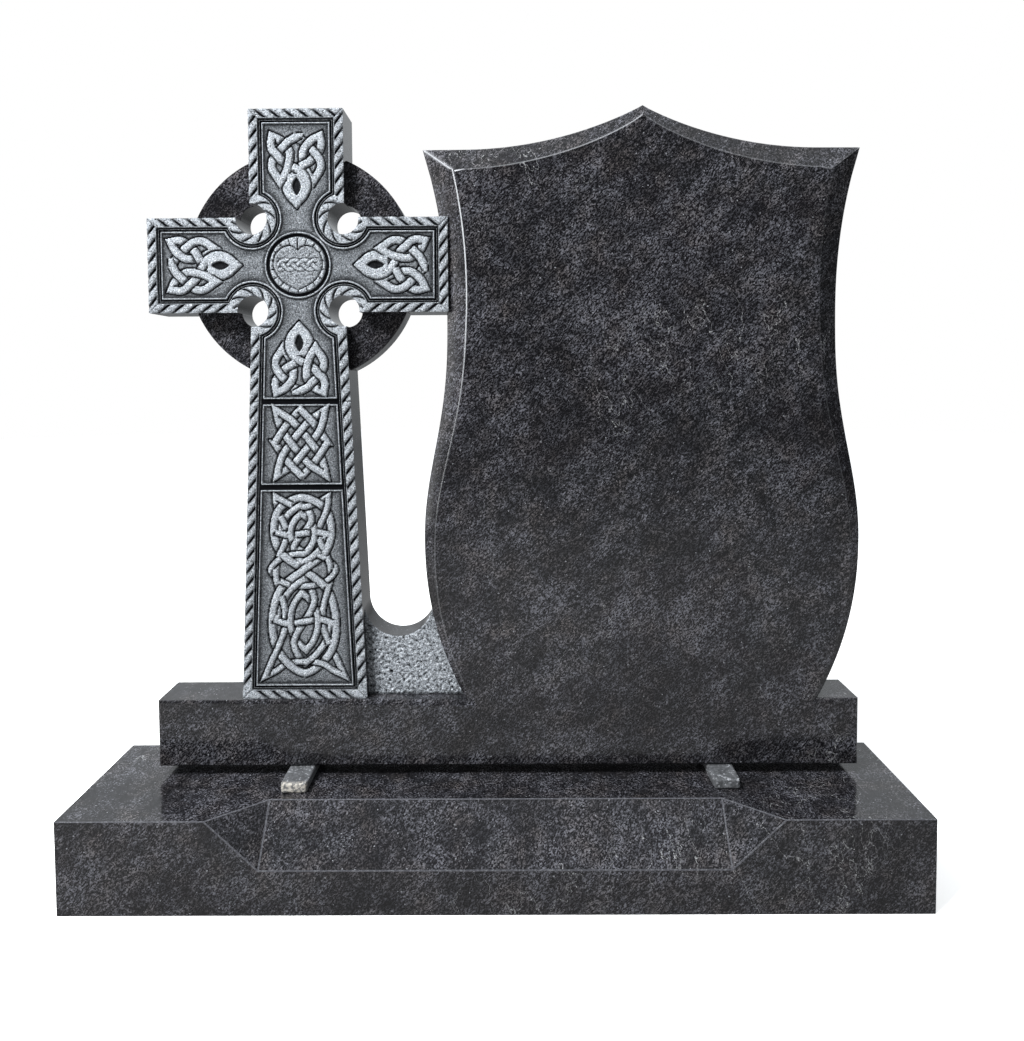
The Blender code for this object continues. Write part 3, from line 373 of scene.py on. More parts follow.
def packing_stone(name):
    """Sawn grey stone with light and dark grains, chipped paler at its front end."""
    colours = bpy.context.scene.headstone_colours
    graph = Graph(name)
    grains = graph.crystals(330.0)
    clouds = graph.spread(graph.noise(45.0, 4.0), 0.3, 0.7, 0.55, 1.25)
    base = tuple(colours.packing)
    stone = graph.mix(graph.spread(grains, 0.3, 0.95, 0.0, 1.0), tuple(0.5 * c for c in base), base)
    stone = graph.mix(graph.math("GREATER_THAN", grains, 0.93), stone, tuple(min(2.1 * c, 1) for c in base))
    cloudy = graph.node("CombineColor", 0, None, Red=clouds, Green=clouds, Blue=clouds)
    stone = graph.mix(1.0, stone, cloudy, "MULTIPLY")
    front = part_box("packing_strip_left")[0][1]
    along = graph.node("SeparateXYZ", 1, None, Vector=graph.coordinates)
    chipped = graph.math("MULTIPLY", graph.spread(along, front + 0.002, front + 0.010, 1.0, 0.0),
                         graph.spread(graph.noise(240.0, 3.0), 0.42, 0.58, 0.1, 1.0))
    stone = graph.mix(chipped, stone, (0.42, 0.40, 0.36))
    rough = graph.spread(grains, 0.0, 1.0, 0.62, 0.85)
    return graph.finish(graph.noise(420.0, 4.0), 0.6, 0.001, Base_Color=stone, Roughness=rough)


def seamless_paper(name):
    """Pale floor that looks white to the camera, and dimmer to the polished stone that mirrors it."""
    stage = bpy.context.scene.headstone_stage
    graph = Graph(name)
    seen = graph.node("LightPath")
    pale = graph.mix(seen, tuple(FLOOR_DIMMED * c for c in stage.floor), tuple(stage.floor))
    return graph.finish(None, 0, 0, Base_Color=pale, Roughness=0.9, Specular_IOR_Level=0.1,
                        Emission_Color=(1.0, 1.0, 1.0), Emission_Strength=graph.math("MULTIPLY", seen, 0.45))


def add_object(name, mesh, material):
    obj = bpy.data.objects.new(name, mesh)
    bpy.context.scene.collection.objects.link(obj)
    mesh.materials.clear()
    mesh.materials.append(material)
    return obj


def in_two_stones(name, mesh, first, second, which):
    """An object of two materials. which has for each face 0 for the first or 1 for the second."""
    obj = add_object(name, mesh, first)
    mesh.materials.append(second)
    mesh.polygons.foreach_set("material_index", which)
    return obj


def part_of_stone(obj, node=None):
    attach(obj, "root")
    if node:
        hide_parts(node)


def shade_by_angle(mesh):
    """Smooth shading, with the edges that turn sharply kept crisp."""
    bm = bmesh.new()
    bm.from_mesh(mesh)
    for face in bm.faces:
        face.smooth = True
    for edge in bm.edges:
        edge.smooth = len(edge.link_faces) == 2 and edge.calc_face_angle(0) < SHARP_ANGLE
    bm.to_mesh(mesh)
    bm.free()


def even_normals(mesh):
    """Lets the large flat faces set the normals they share with the narrow eased edges beside them."""
    shade_by_angle(mesh)
    drawn = bpy.data.objects.new(mesh.name, mesh)
    bpy.context.scene.collection.objects.link(drawn)
    weigh = drawn.modifiers.new("even_normals", "WEIGHTED_NORMAL")
    weigh.keep_sharp = True
    weigh.weight = 100
    return plain_mesh(drawn, mesh.name)


def mesh_from_bmesh(name, bm):
    bmesh.ops.recalc_face_normals(bm, faces=bm.faces)
    mesh = bpy.data.meshes.new(name)
    bm.to_mesh(mesh)
    bm.free()
    return mesh


def plain_mesh(obj, name):
    """The object's evaluated mesh, in place. The object itself is removed."""
    bpy.context.view_layer.update()
    mesh = bpy.data.meshes.new_from_object(obj.evaluated_get(bpy.context.evaluated_depsgraph_get()))
    mesh.transform(obj.matrix_world)
    mesh.name = name
    bpy.data.objects.remove(obj)
    return mesh


def prism(name, outline, y0, y1, arris, eased):
    """Gives a thickness to a closed (x, z) outline, and eases the rim at the depths listed in eased."""
    curve = bpy.data.curves.new(name, "CURVE")
    curve.dimensions = "2D"
    curve.fill_mode = "BOTH"
    curve.extrude = (y1 - y0) / 2
    spline = curve.splines.new("POLY")
    spline.points.add(len(outline) - 1)
    for point, (x, z) in zip(spline.points, outline):
        point.co = (x, z, 0, 1)
    spline.use_cyclic_u = True
    drawn = bpy.data.objects.new(name, curve)
    bpy.context.scene.collection.objects.link(drawn)
    drawn.location.y = (y0 + y1) / 2
    drawn.rotation_euler.x = math.pi / 2
    mesh = plain_mesh(drawn, name)
    bm = bmesh.new()
    bm.from_mesh(mesh)
    bmesh.ops.remove_doubles(bm, verts=bm.verts, dist=WELD)
    bmesh.ops.recalc_face_normals(bm, faces=bm.faces)
    rim = [edge for edge in bm.edges if edge.calc_face_angle(0) > SHARP_ANGLE
           and any(all(abs(vert.co.y - y) < WELD for vert in edge.verts) for y in eased)]
    if rim:
        bmesh.ops.bevel(bm, geom=rim, offset=arris, segments=2, affect="EDGES", profile=0.5)
    bm.to_mesh(mesh)
    bm.free()
    return even_normals(mesh)


def arc_points(x, z, radius, start, end, count):
    turns = np.linspace(start, end, count)
    return [(x + radius * math.cos(turn), z + radius * math.sin(turn)) for turn in turns]


# Base and packing

def block_of_base():
    """The base block with its stopped chamfer, whose splayed ends run out on the front top edge."""
    sizes = bpy.context.scene.headstone_base
    low, high = Vector(BASE_LOW), Vector(BASE_HIGH)
    bm = bmesh.new()
    place = Matrix.Translation((low + high) / 2) @ Matrix.Diagonal((*(high - low), 1))
    bmesh.ops.create_cube(bm, size=1, matrix=place)
    block = add_object("base_block", mesh_from_bmesh("base_block", bm), granite())
    front, top = low.y, high.z
    bm = bmesh.new()
    for side in (-1, 1):
        lower = Vector((side * sizes.chamfer_half, front, top - sizes.chamfer_drop))
        upper = Vector((side * sizes.chamfer_half, front + sizes.chamfer_back, top))
        end = Vector((side * (sizes.chamfer_half + sizes.chamfer_stop), front, top))
        for corner in (lower * 2 - upper, upper * 2 - lower, end * 2 - (lower + upper) / 2):
            bm.verts.new(corner)
    bmesh.ops.convex_hull(bm, input=bm.verts)
    cutter = add_object("chamfer_cutter", mesh_from_bmesh("chamfer_cutter", bm), granite())
    cut = block.modifiers.new("stopped_chamfer", "BOOLEAN")
    cut.operation, cut.solver, cut.object = "DIFFERENCE", "EXACT", cutter
    ease = block.modifiers.new("arris", "BEVEL")
    ease.width, ease.segments, ease.limit_method, ease.angle_limit = sizes.arris, 3, "ANGLE", math.radians(15)
    # The eased edges take the pale second material: a painted highlight line along every arris
    ease.material = 1
    arris_highlight = highlit_arris_granite()
    block.data.materials.append(arris_highlight)
    mesh = plain_mesh(block, "base_block")
    bpy.data.objects.remove(cutter)
    eased = [int(mesh.materials[face.material_index] == arris_highlight) for face in mesh.polygons]
    return in_two_stones("base_block", even_normals(mesh), granite(), arris_highlight, eased)


def packing_strip(node):
    """A sawn strip with rubbed, uneven edges and a round-nosed front end, inside the box of its CAD solid."""
    low, high = (Vector(corner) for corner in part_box(node))
    size = high - low
    counts = [max(2, round(side / PACKING_CELL)) for side in size]
    axes = [np.linspace(0, 1, count + 1) for count in counts]
    index = {}
    bm = bmesh.new()

    def vert(i, j, k):
        key = (i, j, k)
        if key not in index:
            index[key] = bm.verts.new((axes[0][i], axes[1][j], axes[2][k]))
        return index[key]

    for axis in range(3):
        a, b = (axis + 1) % 3, (axis + 2) % 3
        for end in (0, counts[axis]):
            for p in range(counts[a]):
                for q in range(counts[b]):
                    corners = []
                    for da, db in ((0, 0), (1, 0), (1, 1), (0, 1)):
                        key = [0, 0, 0]
                        key[axis], key[a], key[b] = end, p + da, q + db
                        corners.append(vert(*key))
                    bm.faces.new(corners if end else corners[::-1])
    edge, nose = PACKING_EDGE, PACKING_NOSE
    inner_low, inner_high = low + Vector((edge,) * 3), high - Vector((edge,) * 3)
    for point in bm.verts:
        place = Vector(low[k] + point.co[k] * size[k] for k in range(3))
        core = Vector(min(max(place[k], inner_low[k]), inner_high[k]) for k in range(3))
        away = place - core
        if away.length > 1e-9:
            place = core + away.normalized() * min(away.length, edge)
        from_nose = (nose - (place.y - low.y)) / nose
        if from_nose > 0:
            middle = (low.x + high.x) / 2
            place.x = middle + (place.x - middle) * (1 - 0.10 * from_nose ** 2)
        rough = noise.fractal(place * 240, 1.0, 2.0, 3)
        wear_and_highlight = 0.0005 + 0.0007 * rough
        inward = (core - place).normalized() if away.length > 1e-9 else Vector((0, 0, 0))
        point.co = place + inward * max(wear_and_highlight, 0)
    bmesh.ops.recalc_face_normals(bm, faces=bm.faces)
    for face in bm.faces:
        face.smooth = True
    mesh = bpy.data.meshes.new(node + "_stone")
    bm.to_mesh(mesh)
    bm.free()
    return add_object(node + "_stone", mesh, once("sawn_packing_stone", packing_stone))


# Tablet and plinth

def tablet_half(sizes, rise):
    """Half width of the tablet this high above the plinth: a bellied foot, a waist and flaring corners."""
    if rise < sizes.bulge_rise:
        share = (sizes.bulge_rise - rise) / sizes.bulge_rise
        return sizes.bulge_half - (sizes.bulge_half - sizes.foot_half) * share ** 2.2
    if rise < sizes.waist_rise:
        share = (rise - sizes.bulge_rise) / (sizes.waist_rise - sizes.bulge_rise)
        belly = (0.5 + 0.5 * math.cos(math.pi * share)) ** 1.5
        return sizes.waist_half + (sizes.bulge_half - sizes.waist_half) * belly
    share = (rise - sizes.waist_rise) / (sizes.corner_rise - sizes.waist_rise)
    return sizes.waist_half + (sizes.corner_half - sizes.waist_half) * share ** 2.15


def tablet_top(sizes, across):
    """Height of the top edge above the plinth: level at the corners, then a hollow arc up to the peak."""
    height = sizes.peak_rise - sizes.corner_rise
    radius = (height ** 2 + sizes.sweep_start ** 2) / (2 * height)
    run = max(sizes.sweep_start - across, 0)
    return sizes.corner_rise + radius - math.sqrt(radius ** 2 - run ** 2)


def stone_outline(sizes):
    """Right half of the tablet from the peak down, as (x from its axis, rise, width of the sloping edge)."""
    top = [(across, tablet_top(sizes, across), 0.012 + 0.033 * math.sqrt(across / sizes.corner_half))
           for across in np.linspace(0, sizes.sweep_start, 36)]
    rises = np.concatenate([[sizes.corner_rise],
                            np.linspace(sizes.corner_rise - CORNER_RUN, sizes.waist_rise, 26)[:-1],
                            np.linspace(sizes.waist_rise, sizes.bulge_rise, 36)[:-1],
                            np.linspace(sizes.bulge_rise, 0, 30)])
    widths = np.interp(rises, [0, sizes.bulge_rise, sizes.waist_rise, sizes.corner_rise],
                       [0.010, 0.020, 0.037, 0.045])
    return top + [(tablet_half(sizes, rise), rise, width) for rise, width in zip(rises, widths)]


def tablet_and_plinth():
    """Plinth and tablet as one closed body, lofted from the front face over its sloping edge to the back.

    The attribute arris, a painted highlight, is strongest high on the left inner edge. mitre paints a
    highlight on the folds at the top corners, brighter on the left one.
    """
    sizes = bpy.context.scene.headstone_tablet
    arris = sizes.arris
    thick = SLAB_BACK - SLAB_FRONT
    half = stone_outline(sizes)
    outline = [(TABLET_X + x, PLINTH_TOP + rise, width) for x, rise, width in half]
    left = [(TABLET_X - x, PLINTH_TOP + rise, width) for x, rise, width in half[:0:-1]]
    plinth_left, plinth_right = PLINTH_OFFSET - PLINTH_WIDTH / 2, PLINTH_OFFSET + PLINTH_WIDTH / 2
    plinth = [(plinth_right, PLINTH_TOP), (plinth_right, PLINTH_BOTTOM), (plinth_left, PLINTH_BOTTOM),
              (plinth_left, PLINTH_TOP)]
    outline += [(x, z, PLINTH_EASE) for x, z in plinth] + left
    places = np.array([point[:2] for point in outline])
    bm = bmesh.new()
    wear_and_highlight, fold_highlight = bm.verts.layers.float.new("arris"), bm.verts.layers.float.new("mitre")
    rings = []
    for index, (x, z, width) in enumerate(outline):
        before = places[index] - places[index - 1]
        after = places[(index + 1) % len(outline)] - places[index]
        normals = [np.array([way[1], -way[0]]) / np.linalg.norm(way) for way in (before, after)]
        inward = (normals[0] + normals[1]) / (1 + normals[0] @ normals[1])
        slope = RIM_SLOPE if width > PLINTH_EASE else 1
        ease = min(arris, width / 3)
        profile = [(width + ease, 0), (width + 0.3 * ease, 0.12 * ease),
                   (width - 0.6 * ease, 0.75 * ease * slope), (ease, (width - ease) * slope),
                   (0.35 * ease, (width - 0.15 * ease) * slope), (0, width * slope + 0.9 * ease),
                   (0, thick - arris), (0.3 * arris, thick - 0.3 * arris), (arris, thick)]
        rings.append([bm.verts.new((x + inset * inward[0], SLAB_FRONT + depth, z + inset * inward[1]))
                      for inset, depth in profile])
        # Painted highlight on the folds of the top corners, brighter on the left corner
        if abs(z - PLINTH_TOP - sizes.corner_rise) < WELD and abs(x - TABLET_X) > sizes.corner_half - WELD:
            for vert in rings[-1][1:5]:
                vert[fold_highlight] = 0.985 if x < TABLET_X else 0.94
        # Painted highlight along the rim's inner edge: faint all round, stronger along the top, strongest high
        # on the left side
        if width > PLINTH_EASE and z > PLINTH_TOP + 0.03:
            high = float(smoothstep(z, PLINTH_TOP + 0.45, PLINTH_TOP + 0.85))
            rings[-1][1][wear_and_highlight] = 0.03 + (0.05 + 0.65 * high) * max(inward[0], 0) + 0.10 * max(-inward[1], 0)
    bm.faces.new([ring[0] for ring in rings])
    bm.faces.new([ring[-1] for ring in rings][::-1])
    for k in range(len(rings[0]) - 1):
        for a in range(len(rings)):
            b = (a + 1) % len(rings)
            bm.faces.new((rings[a][k], rings[b][k], rings[b][k + 1], rings[a][k + 1]))
    mesh = even_normals(mesh_from_bmesh("tablet_and_plinth", bm))
    return add_object("tablet_and_plinth", mesh, granite())


# Body of the cross, ring and web

def shaft_half(v, inset=0.0):
    """Half width of the upright at this height: even down to the lower edge of the arms, then widening."""
    cross = bpy.context.scene.headstone_cross
    lean = (cross.foot_half - cross.arm_half) / (CROSS_RISE - cross.arm_half)
    below = np.maximum(-np.asarray(v, float) - cross.arm_half, 0)
    return cross.arm_half + lean * below - inset * np.where(below > 0, math.hypot(1, lean), 1)


def corner_arc(inset, count):
    """Points round the upper right hole, this far outside it, from the top arm to the side arm."""
    cross = bpy.context.scene.headstone_cross
    half_arm = cross.arm_half - inset
    radius = cross.hole_radius + inset
    rise = math.sqrt(radius ** 2 - (half_arm - cross.hole_offset) ** 2)
    turn = math.atan2(rise, half_arm - cross.hole_offset)
    return arc_points(cross.hole_offset, cross.hole_offset, radius, turn, 2.5 * math.pi - turn, count)


def lower_corner_arc(inset, count):
    """The same round the hole below, from the side arm to the shaft, which widens downwards."""
    cross = bpy.context.scene.headstone_cross
    half_arm = cross.arm_half - inset
    radius = cross.hole_radius + inset
    offset = cross.hole_offset
    rise = math.sqrt(radius ** 2 - (half_arm - offset) ** 2)
    turn = math.atan2(rise, half_arm - offset)
    shaft_z = -offset - rise
    for _ in range(8):
        shaft_x = float(shaft_half(shaft_z, inset))
        shaft_z = -offset - math.sqrt(radius ** 2 - (shaft_x - offset) ** 2)
    shaft_turn = math.atan2(shaft_z + offset, shaft_x - offset)
    return arc_points(offset, -offset, radius, turn - 0.5 * math.pi, shaft_turn + 2 * math.pi, count)


def on_cross(half):
    """Closes a half outline, given down its right side, with its mirror image, and puts it on the cross."""
    back = [(-u, v) for u, v in reversed(half)]
    return [(CROSS_X + u, CROSS_Z + v) for u, v in half + back]


def cross_body():
    """The cross behind its carved face: its arms and shaft, notched by the four holes."""
    cross = bpy.context.scene.headstone_cross
    half = [(cross.arm_half, cross.top_arm)] + corner_arc(0, 64)
    half += [(cross.arm_span, cross.arm_half), (cross.arm_span, -cross.arm_half)] + lower_corner_arc(0, 64)
    foot = -CROSS_RISE - SUNK
    half.append((float(shaft_half(foot)), foot))
    mesh = prism("cross_body", on_cross(half), CROSS_FRONT + FACE_DEPTH, CROSS_BACK, THIN_EDGE, [CROSS_BACK])
    return add_object("cross_body", mesh, granite())


def ring_quarters():
    """The four open quarters of the ring, each let a little way into the arms, and beside the holes too."""
    cross = bpy.context.scene.headstone_cross
    start, inner = cross.arm_half - SUNK, cross.arm_half
    low = math.asin(start / cross.ring_radius)
    gap = cross.hole_offset
    let_in = 0.003
    near = gap + math.sqrt(cross.hole_radius ** 2 - (inner - gap) ** 2)
    turn = math.atan2(near - gap, inner - gap)
    outline = arc_points(0, 0, cross.ring_radius, low, math.pi / 2 - low, 60)
    outline += [(start, near + let_in)] + arc_points(gap, gap, cross.hole_radius, turn, math.pi / 2 - turn, 28)
    outline += [(near + let_in, start)]
    quarters = []
    for side in (-1, 1):
        for level in (-1, 1):
            quarter = [(CROSS_X + side * u, CROSS_Z + level * v) for u, v in outline]
            name = f"ring_{'left' if side < 0 else 'right'}_{'lower' if level < 0 else 'upper'}"
            mesh = prism(name, quarter, RING_FRONT, RING_BACK, THIN_EDGE, [RING_FRONT, RING_BACK])
            quarters.append(add_object(name, mesh, granite()))
    return quarters


# Fields of depth

def closed_field(name, places, faces, depth, tone, back):
    """A grid of points with its own depth at each, closed with a skirt and a flat back of polished stone."""
    used = np.unique(faces)
    order = np.full(len(places), -1)
    order[used] = np.arange(len(used))
    faces = order[faces]
    places, depth, tone = places[used], depth[used], tone[used]
    coordinates = np.column_stack([places[:, 0], depth, places[:, 1]])
    mesh = bpy.data.meshes.new(name)
    mesh.from_pydata(coordinates.tolist(), [], faces.tolist())
    layer = mesh.attributes.new("tone", "FLOAT", "POINT")
    layer.data.foreach_set("value", tone.astype(np.float32))
    bm = bmesh.new()
    bm.from_mesh(mesh)
    shades = bm.verts.layers.float["tone"]
    for face in bm.faces:
        face.smooth = True
    rim = [edge for edge in bm.edges if edge.is_boundary]
    made = bmesh.ops.extrude_edge_only(bm, edges=rim)["geom"]
    for vert in (item for item in made if isinstance(item, bmesh.types.BMVert)):
        vert.co.y = back
        vert[shades] = 0.02
    skirt = [item for item in made if isinstance(item, bmesh.types.BMFace)]
    skirt.sort(key=lambda face: tuple(face.calc_center_median()))
    low_rim = [item for item in made if isinstance(item, bmesh.types.BMEdge) and item.is_boundary
               and all(abs(vert.co.y - back) < WELD for vert in item.verts)]
    capped = bmesh.ops.triangle_fill(bm, edges=low_rim, use_beauty=False)["geom"]
    cap = [item for item in capped if isinstance(item, bmesh.types.BMFace)]
    bmesh.ops.recalc_face_normals(bm, faces=bm.faces)
    # The extrusion makes the skirt's faces in another order each run, so all faces get a fixed one
    bm.faces.index_update()
    for index, face in enumerate(skirt + cap, len(faces)):
        face.smooth = False
        face.material_index = 1
        face.index = index
    bm.faces.sort()
    for edge in rim:
        edge.smooth = False
    which = [face.material_index for face in bm.faces]
    bm.to_mesh(mesh)
    bm.free()
    return in_two_stones(name, mesh, carved_stone(), granite(), which)


def grid_faces(columns, rows, keep):
    """Corner indices of the kept cells of a grid whose points run along its rows. keep has a value a cell."""
    i, j = np.meshgrid(np.arange(columns - 1), np.arange(rows - 1), indexing="ij")
    a = (j * columns + i)[keep]
    return np.column_stack([a, a + 1, a + columns + 1, a + columns])


def steps(start, end, cell):
    """Even places from start to end, about one cell apart."""
    return np.linspace(start, end, max(2, round(abs(end - start) / cell) + 1))


def joined(*runs):
    """Runs of places that meet end to end, with each shared end kept once."""
    return np.concatenate([run[:-1] for run in runs[:-1]] + [runs[-1]])


def open_round(places, faces, centre, radius):
    """Takes out the cells inside a circle, and draws the points left round it onto the circle."""
    away = np.linalg.norm(places[faces].mean(axis=1) - centre, axis=1)
    inside = away < radius
    touched = np.intersect1d(np.unique(faces[inside]), np.unique(faces[~inside]))
    offset = places[touched] - centre
    places[touched] = centre + offset * (radius / np.linalg.norm(offset, axis=1))[:, None]
    return faces[~inside]


def smoothstep(value, low, high):
    share = np.clip((value - low) / (high - low), 0, 1)
    return share * share * (3 - 2 * share)


def stipple(count, columns, seed):
    """Random heights with some likeness between neighbours, about one high at most."""
    random = np.random.RandomState(seed)
    fine = random.uniform(-1, 1, count)
    rows = count // columns
    field = random.uniform(-1, 1, count).reshape(rows, columns)
    soft = sum(np.roll(np.roll(field, a, 0), b, 1) for a in (-1, 0, 1) for b in (-1, 0, 1)) / 4.5
    return 0.35 * fine + 1.1 * soft.ravel()


class Strand:
    """A closed ribbon centreline. Points marked as tips are sharp, the rest are smooth."""

    def __init__(self, points, width, per_interval=10):
        self.width = width
        corners = [i for i, point in enumerate(points) if len(point) == 3]
        places = np.array([point[:2] for point in points], float)
        self.tips = set()
        if corners:
            places = np.roll(places, -corners[0], axis=0)
            corners = [i - corners[0] for i in corners] + [len(places)]
            looped = np.vstack([places, places[:1]])
            samples = []
            for start, end in zip(corners, corners[1:]):
                self.tips.add(len(samples))
                samples += catmull_rom(with_ends(looped[start:end + 1]), per_interval)
        else:
            samples = catmull_rom(np.vstack([places[-1:], places, places[:2]]), per_interval)
        self.points = np.array(samples)
        self.steps = np.roll(self.points, -1, axis=0) - self.points
        self.lengths = np.linalg.norm(self.steps, axis=1)
        self.arc = np.concatenate([[0], np.cumsum(self.lengths)])
        self.total = self.arc[-1]
        self.visits = []

    def direction(self, index):
        return self.steps[index] / self.lengths[index]

    def spans(self):
        """(first arc, last arc, visit) of each stretch with one crossing. The last may run past the close."""
        if not self.visits:
            return [(0.0, self.total, None)]
        arcs = [visit["arc"] for visit in self.visits]
        arcs = [arcs[-1] - self.total] + arcs + [arcs[0] + self.total]
        return [((arcs[k] + arcs[k + 1]) / 2, (arcs[k + 1] + arcs[k + 2]) / 2, self.visits[k])
                for k in range(len(self.visits))]

    def stretch(self, start, end):
        """Points, their arc lengths and which of them are tips, between two arc lengths."""
        count = len(self.points)
        arcs, places, tips = [], [], []
        for turn in (-1, 0, 1):
            for index in range(count):
                arc = self.arc[index] + turn * self.total
                if start < arc < end:
                    arcs.append(arc)
                    places.append(self.points[index])
                    tips.append(index in self.tips)
        ends = [self.place(start), self.place(end)]
        return (np.array([ends[0], *places, ends[1]]), np.array([start, *arcs, end]),
                np.array([False, *tips, False]))

    def place(self, arc):
        arc = arc % self.total
        index = min(int(np.searchsorted(self.arc, arc, side="right")) - 1, len(self.points) - 1)
        return self.points[index] + self.direction(index) * (arc - self.arc[index])


def with_ends(points):
    """The points with one more before and after them, straight on, for a curve that starts and stops."""
    return np.vstack([2 * points[0] - points[1], points, 2 * points[-1] - points[-2]])


def catmull_rom(points, per_interval):
    """Centripetal curve from the second point to the last but one, without that last one."""
    result = []
    for a, b, c, d in zip(points, points[1:], points[2:], points[3:]):
        t1 = math.sqrt(np.linalg.norm(b - a))
        t2 = t1 + math.sqrt(np.linalg.norm(c - b))
        t3 = t2 + math.sqrt(np.linalg.norm(d - c))
        for k in range(per_interval):
            t = t1 + (t2 - t1) * k / per_interval
            ab = (t1 - t) / t1 * a + t / t1 * b
            bc = (t2 - t) / (t2 - t1) * b + (t - t1) / (t2 - t1) * c
            cd = (t3 - t) / (t3 - t2) * c + (t - t2) / (t3 - t2) * d
            abc = (t2 - t) / t2 * ab + t / t2 * bc
            bcd = (t3 - t) / (t3 - t1) * bc + (t - t1) / (t3 - t1) * cd
            result.append((t2 - t) / (t2 - t1) * abc + (t - t1) / (t2 - t1) * bcd)
    return result


def find_crossings(strands):
    """Every place where two strands, or one strand and itself, cross: (strand, arc, strand, arc, sine)."""
    found = []
    for i, one in enumerate(strands):
        for j in range(i, len(strands)):
            other = strands[j]
            p, r = one.points[:, None], one.steps[:, None]
            q, s = other.points[None], other.steps[None]
            cross = r[..., 0] * s[..., 1] - r[..., 1] * s[..., 0]
            cross = np.where(abs(cross) < 1e-14, 1e-14, cross)
            d = q - p
            t = (d[..., 0] * s[..., 1] - d[..., 1] * s[..., 0]) / cross
            u = (d[..., 0] * r[..., 1] - d[..., 1] * r[..., 0]) / cross
            hits = np.argwhere((t > -1e-6) & (t < 1 + 1e-6) & (u > -1e-6) & (u < 1 + 1e-6))
            places = []
            for a, b in hits:
                if i == j and (a >= b or (b - a) % len(one.points) in (1, len(one.points) - 1)):
                    continue
                arcs = np.array([one.arc[a] + t[a, b] * one.lengths[a],
                                 other.arc[b] + u[a, b] * other.lengths[b]])
                if any(abs(arcs - place).max() < one.width / 4 for place in places):
                    continue
                places.append(arcs)
                da, db = one.direction(a), other.direction(b)
                found.append((one, arcs[0], other, arcs[1], da[0] * db[1] - da[1] * db[0]))
    return found


def weave(strands):
    """Marks each crossing of each strand as over or under, so that every strand does both in turn."""
    for one, arc_one, other, arc_other, sine in find_crossings(strands):
        visit = {"arc": arc_one, "sine": abs(sine), "width": other.width}
        partner = {"arc": arc_other, "sine": abs(sine), "width": one.width, "partner": visit}
        visit["partner"] = partner
        one.visits.append(visit)
        other.visits.append(partner)
    neighbours = {}
    for strand in strands:
        strand.visits.sort(key=lambda visit: visit["arc"])
        for k, visit in enumerate(strand.visits):
            neighbours[id(visit)] = (strand.visits[k - 1], strand.visits[(k + 1) % len(strand.visits)])
    for strand in strands:
        waiting = [(strand.visits[0], True)] if strand.visits else []
        while waiting:
            visit, over = waiting.pop()
            if "over" not in visit:
                visit["over"] = over
                waiting.append((visit["partner"], not over))
                waiting += [(near, not over) for near in neighbours[id(visit)]]


def moved(points, scale_u, scale_v, u, v):
    """The points scaled and then shifted, with their marks kept."""
    return [(u + point[0] * scale_u, v + point[1] * scale_v, *point[2:]) for point in points]


def mirrored(points):
    """The points of a right half, closed with their mirror image."""
    return list(points) + [(-point[0], *point[1:]) for point in reversed(points) if abs(point[0]) > 1e-9]


def arm_knot(toward):
    """Trefoil-like knot with its single pointed loop toward the boss. toward is the way to the boss."""
    half = [(0, 0.065, "tip"), (0.101, 0.120), (0.147, 0.166), (0.263, 0.286), (0.318, 0.378),
            (0.323, 0.479), (0.217, 0.650, "tip"), (0.138, 0.525), (0.106, 0.424), (0.088, 0.323),
            (0.101, 0.230), (0.212, 0.101), (0.318, 0.051, "tip"), (0.336, 0.157), (0.313, 0.240),
            (0.263, 0.286), (0.184, 0.378), (0.106, 0.424), (0, 0.479), (-0.101, 0.562),
            (-0.143, 0.691), (-0.101, 0.820), (0, 0.935, "tip")]
    path = half + [(-point[0], *point[1:]) for point in reversed(half[1:-1])]
    placed = []
    for point in path:
        along, across = ARM_KNOT_REACH - point[1] * ARM_KNOT_SIZE, point[0] * ARM_KNOT_SIZE
        u = -toward[0] * along + toward[1] * across
        v = -toward[1] * along - toward[0] * across
        placed.append((u, v, *point[2:]))
    return [Strand(placed, 0.0140)]


def paint_leaf(u, v, depth, tone, toward):
    """Fills the pointed loop of an arm's knot, but for a narrow dark slit."""
    carve = bpy.context.scene.headstone_carving
    along = (ARM_KNOT_REACH + u * toward[0] + v * toward[1]) / ARM_KNOT_SIZE
    across = abs(u * toward[1] - v * toward[0]) / ARM_KNOT_SIZE
    loop = np.interp(along, [0.50, 0.562, 0.691, 0.820, 0.91], [0.05, 0.101, 0.143, 0.101, 0.025])
    slit = 0.056 * np.clip(1 - ((along - 0.715) / 0.125) ** 2, 0, 1)
    near = (along > 0.552) & (along < 0.91) & (across < loop)
    lip = smoothstep(slit - across, -0.009, 0.002)
    filled = near & (across >= slit)
    depth[filled] = CROSS_FRONT + carve.ribbon_drop + 0.0012 * lip[filled]
    # Painted shade: the loop darkens where its lip slopes down into the slit
    tone[filled] = 0.98 - 0.45 * lip[filled]
    opened = near & (across < slit)
    depth[opened] = CROSS_FRONT + SLIT_DEPTH
    tone[opened] = 0.02


def square_knot():
    """Three interlaced loops: two long ones from corner to corner and a diamond."""
    long_half = [(-0.80, 0.84, "tip"), (-0.56, 0.72), (-0.33, 0.60), (0, 0.32), (0.33, 0),
                 (0.62, -0.33), (0.74, -0.60)]
    long_loop = long_half + [(-u, -v, *kind) for u, v, *kind in long_half]
    other_loop = [(-u, v, *kind) for u, v, *kind in long_loop]
    quarter = [(0, 0.86, "tip"), (0.335, 0.585), (0.585, 0.335)]
    diamond = []
    for _ in range(4):
        diamond += quarter
        quarter = [(v, -u, *kind) for u, v, *kind in quarter]
    centre = (HIGH_DIVIDER + LOW_DIVIDER) / 2 + 0.003
    return [Strand(moved(loop, 0.058, 0.074, 0, centre), 0.0125) for loop in (long_loop, other_loop, diamond)]


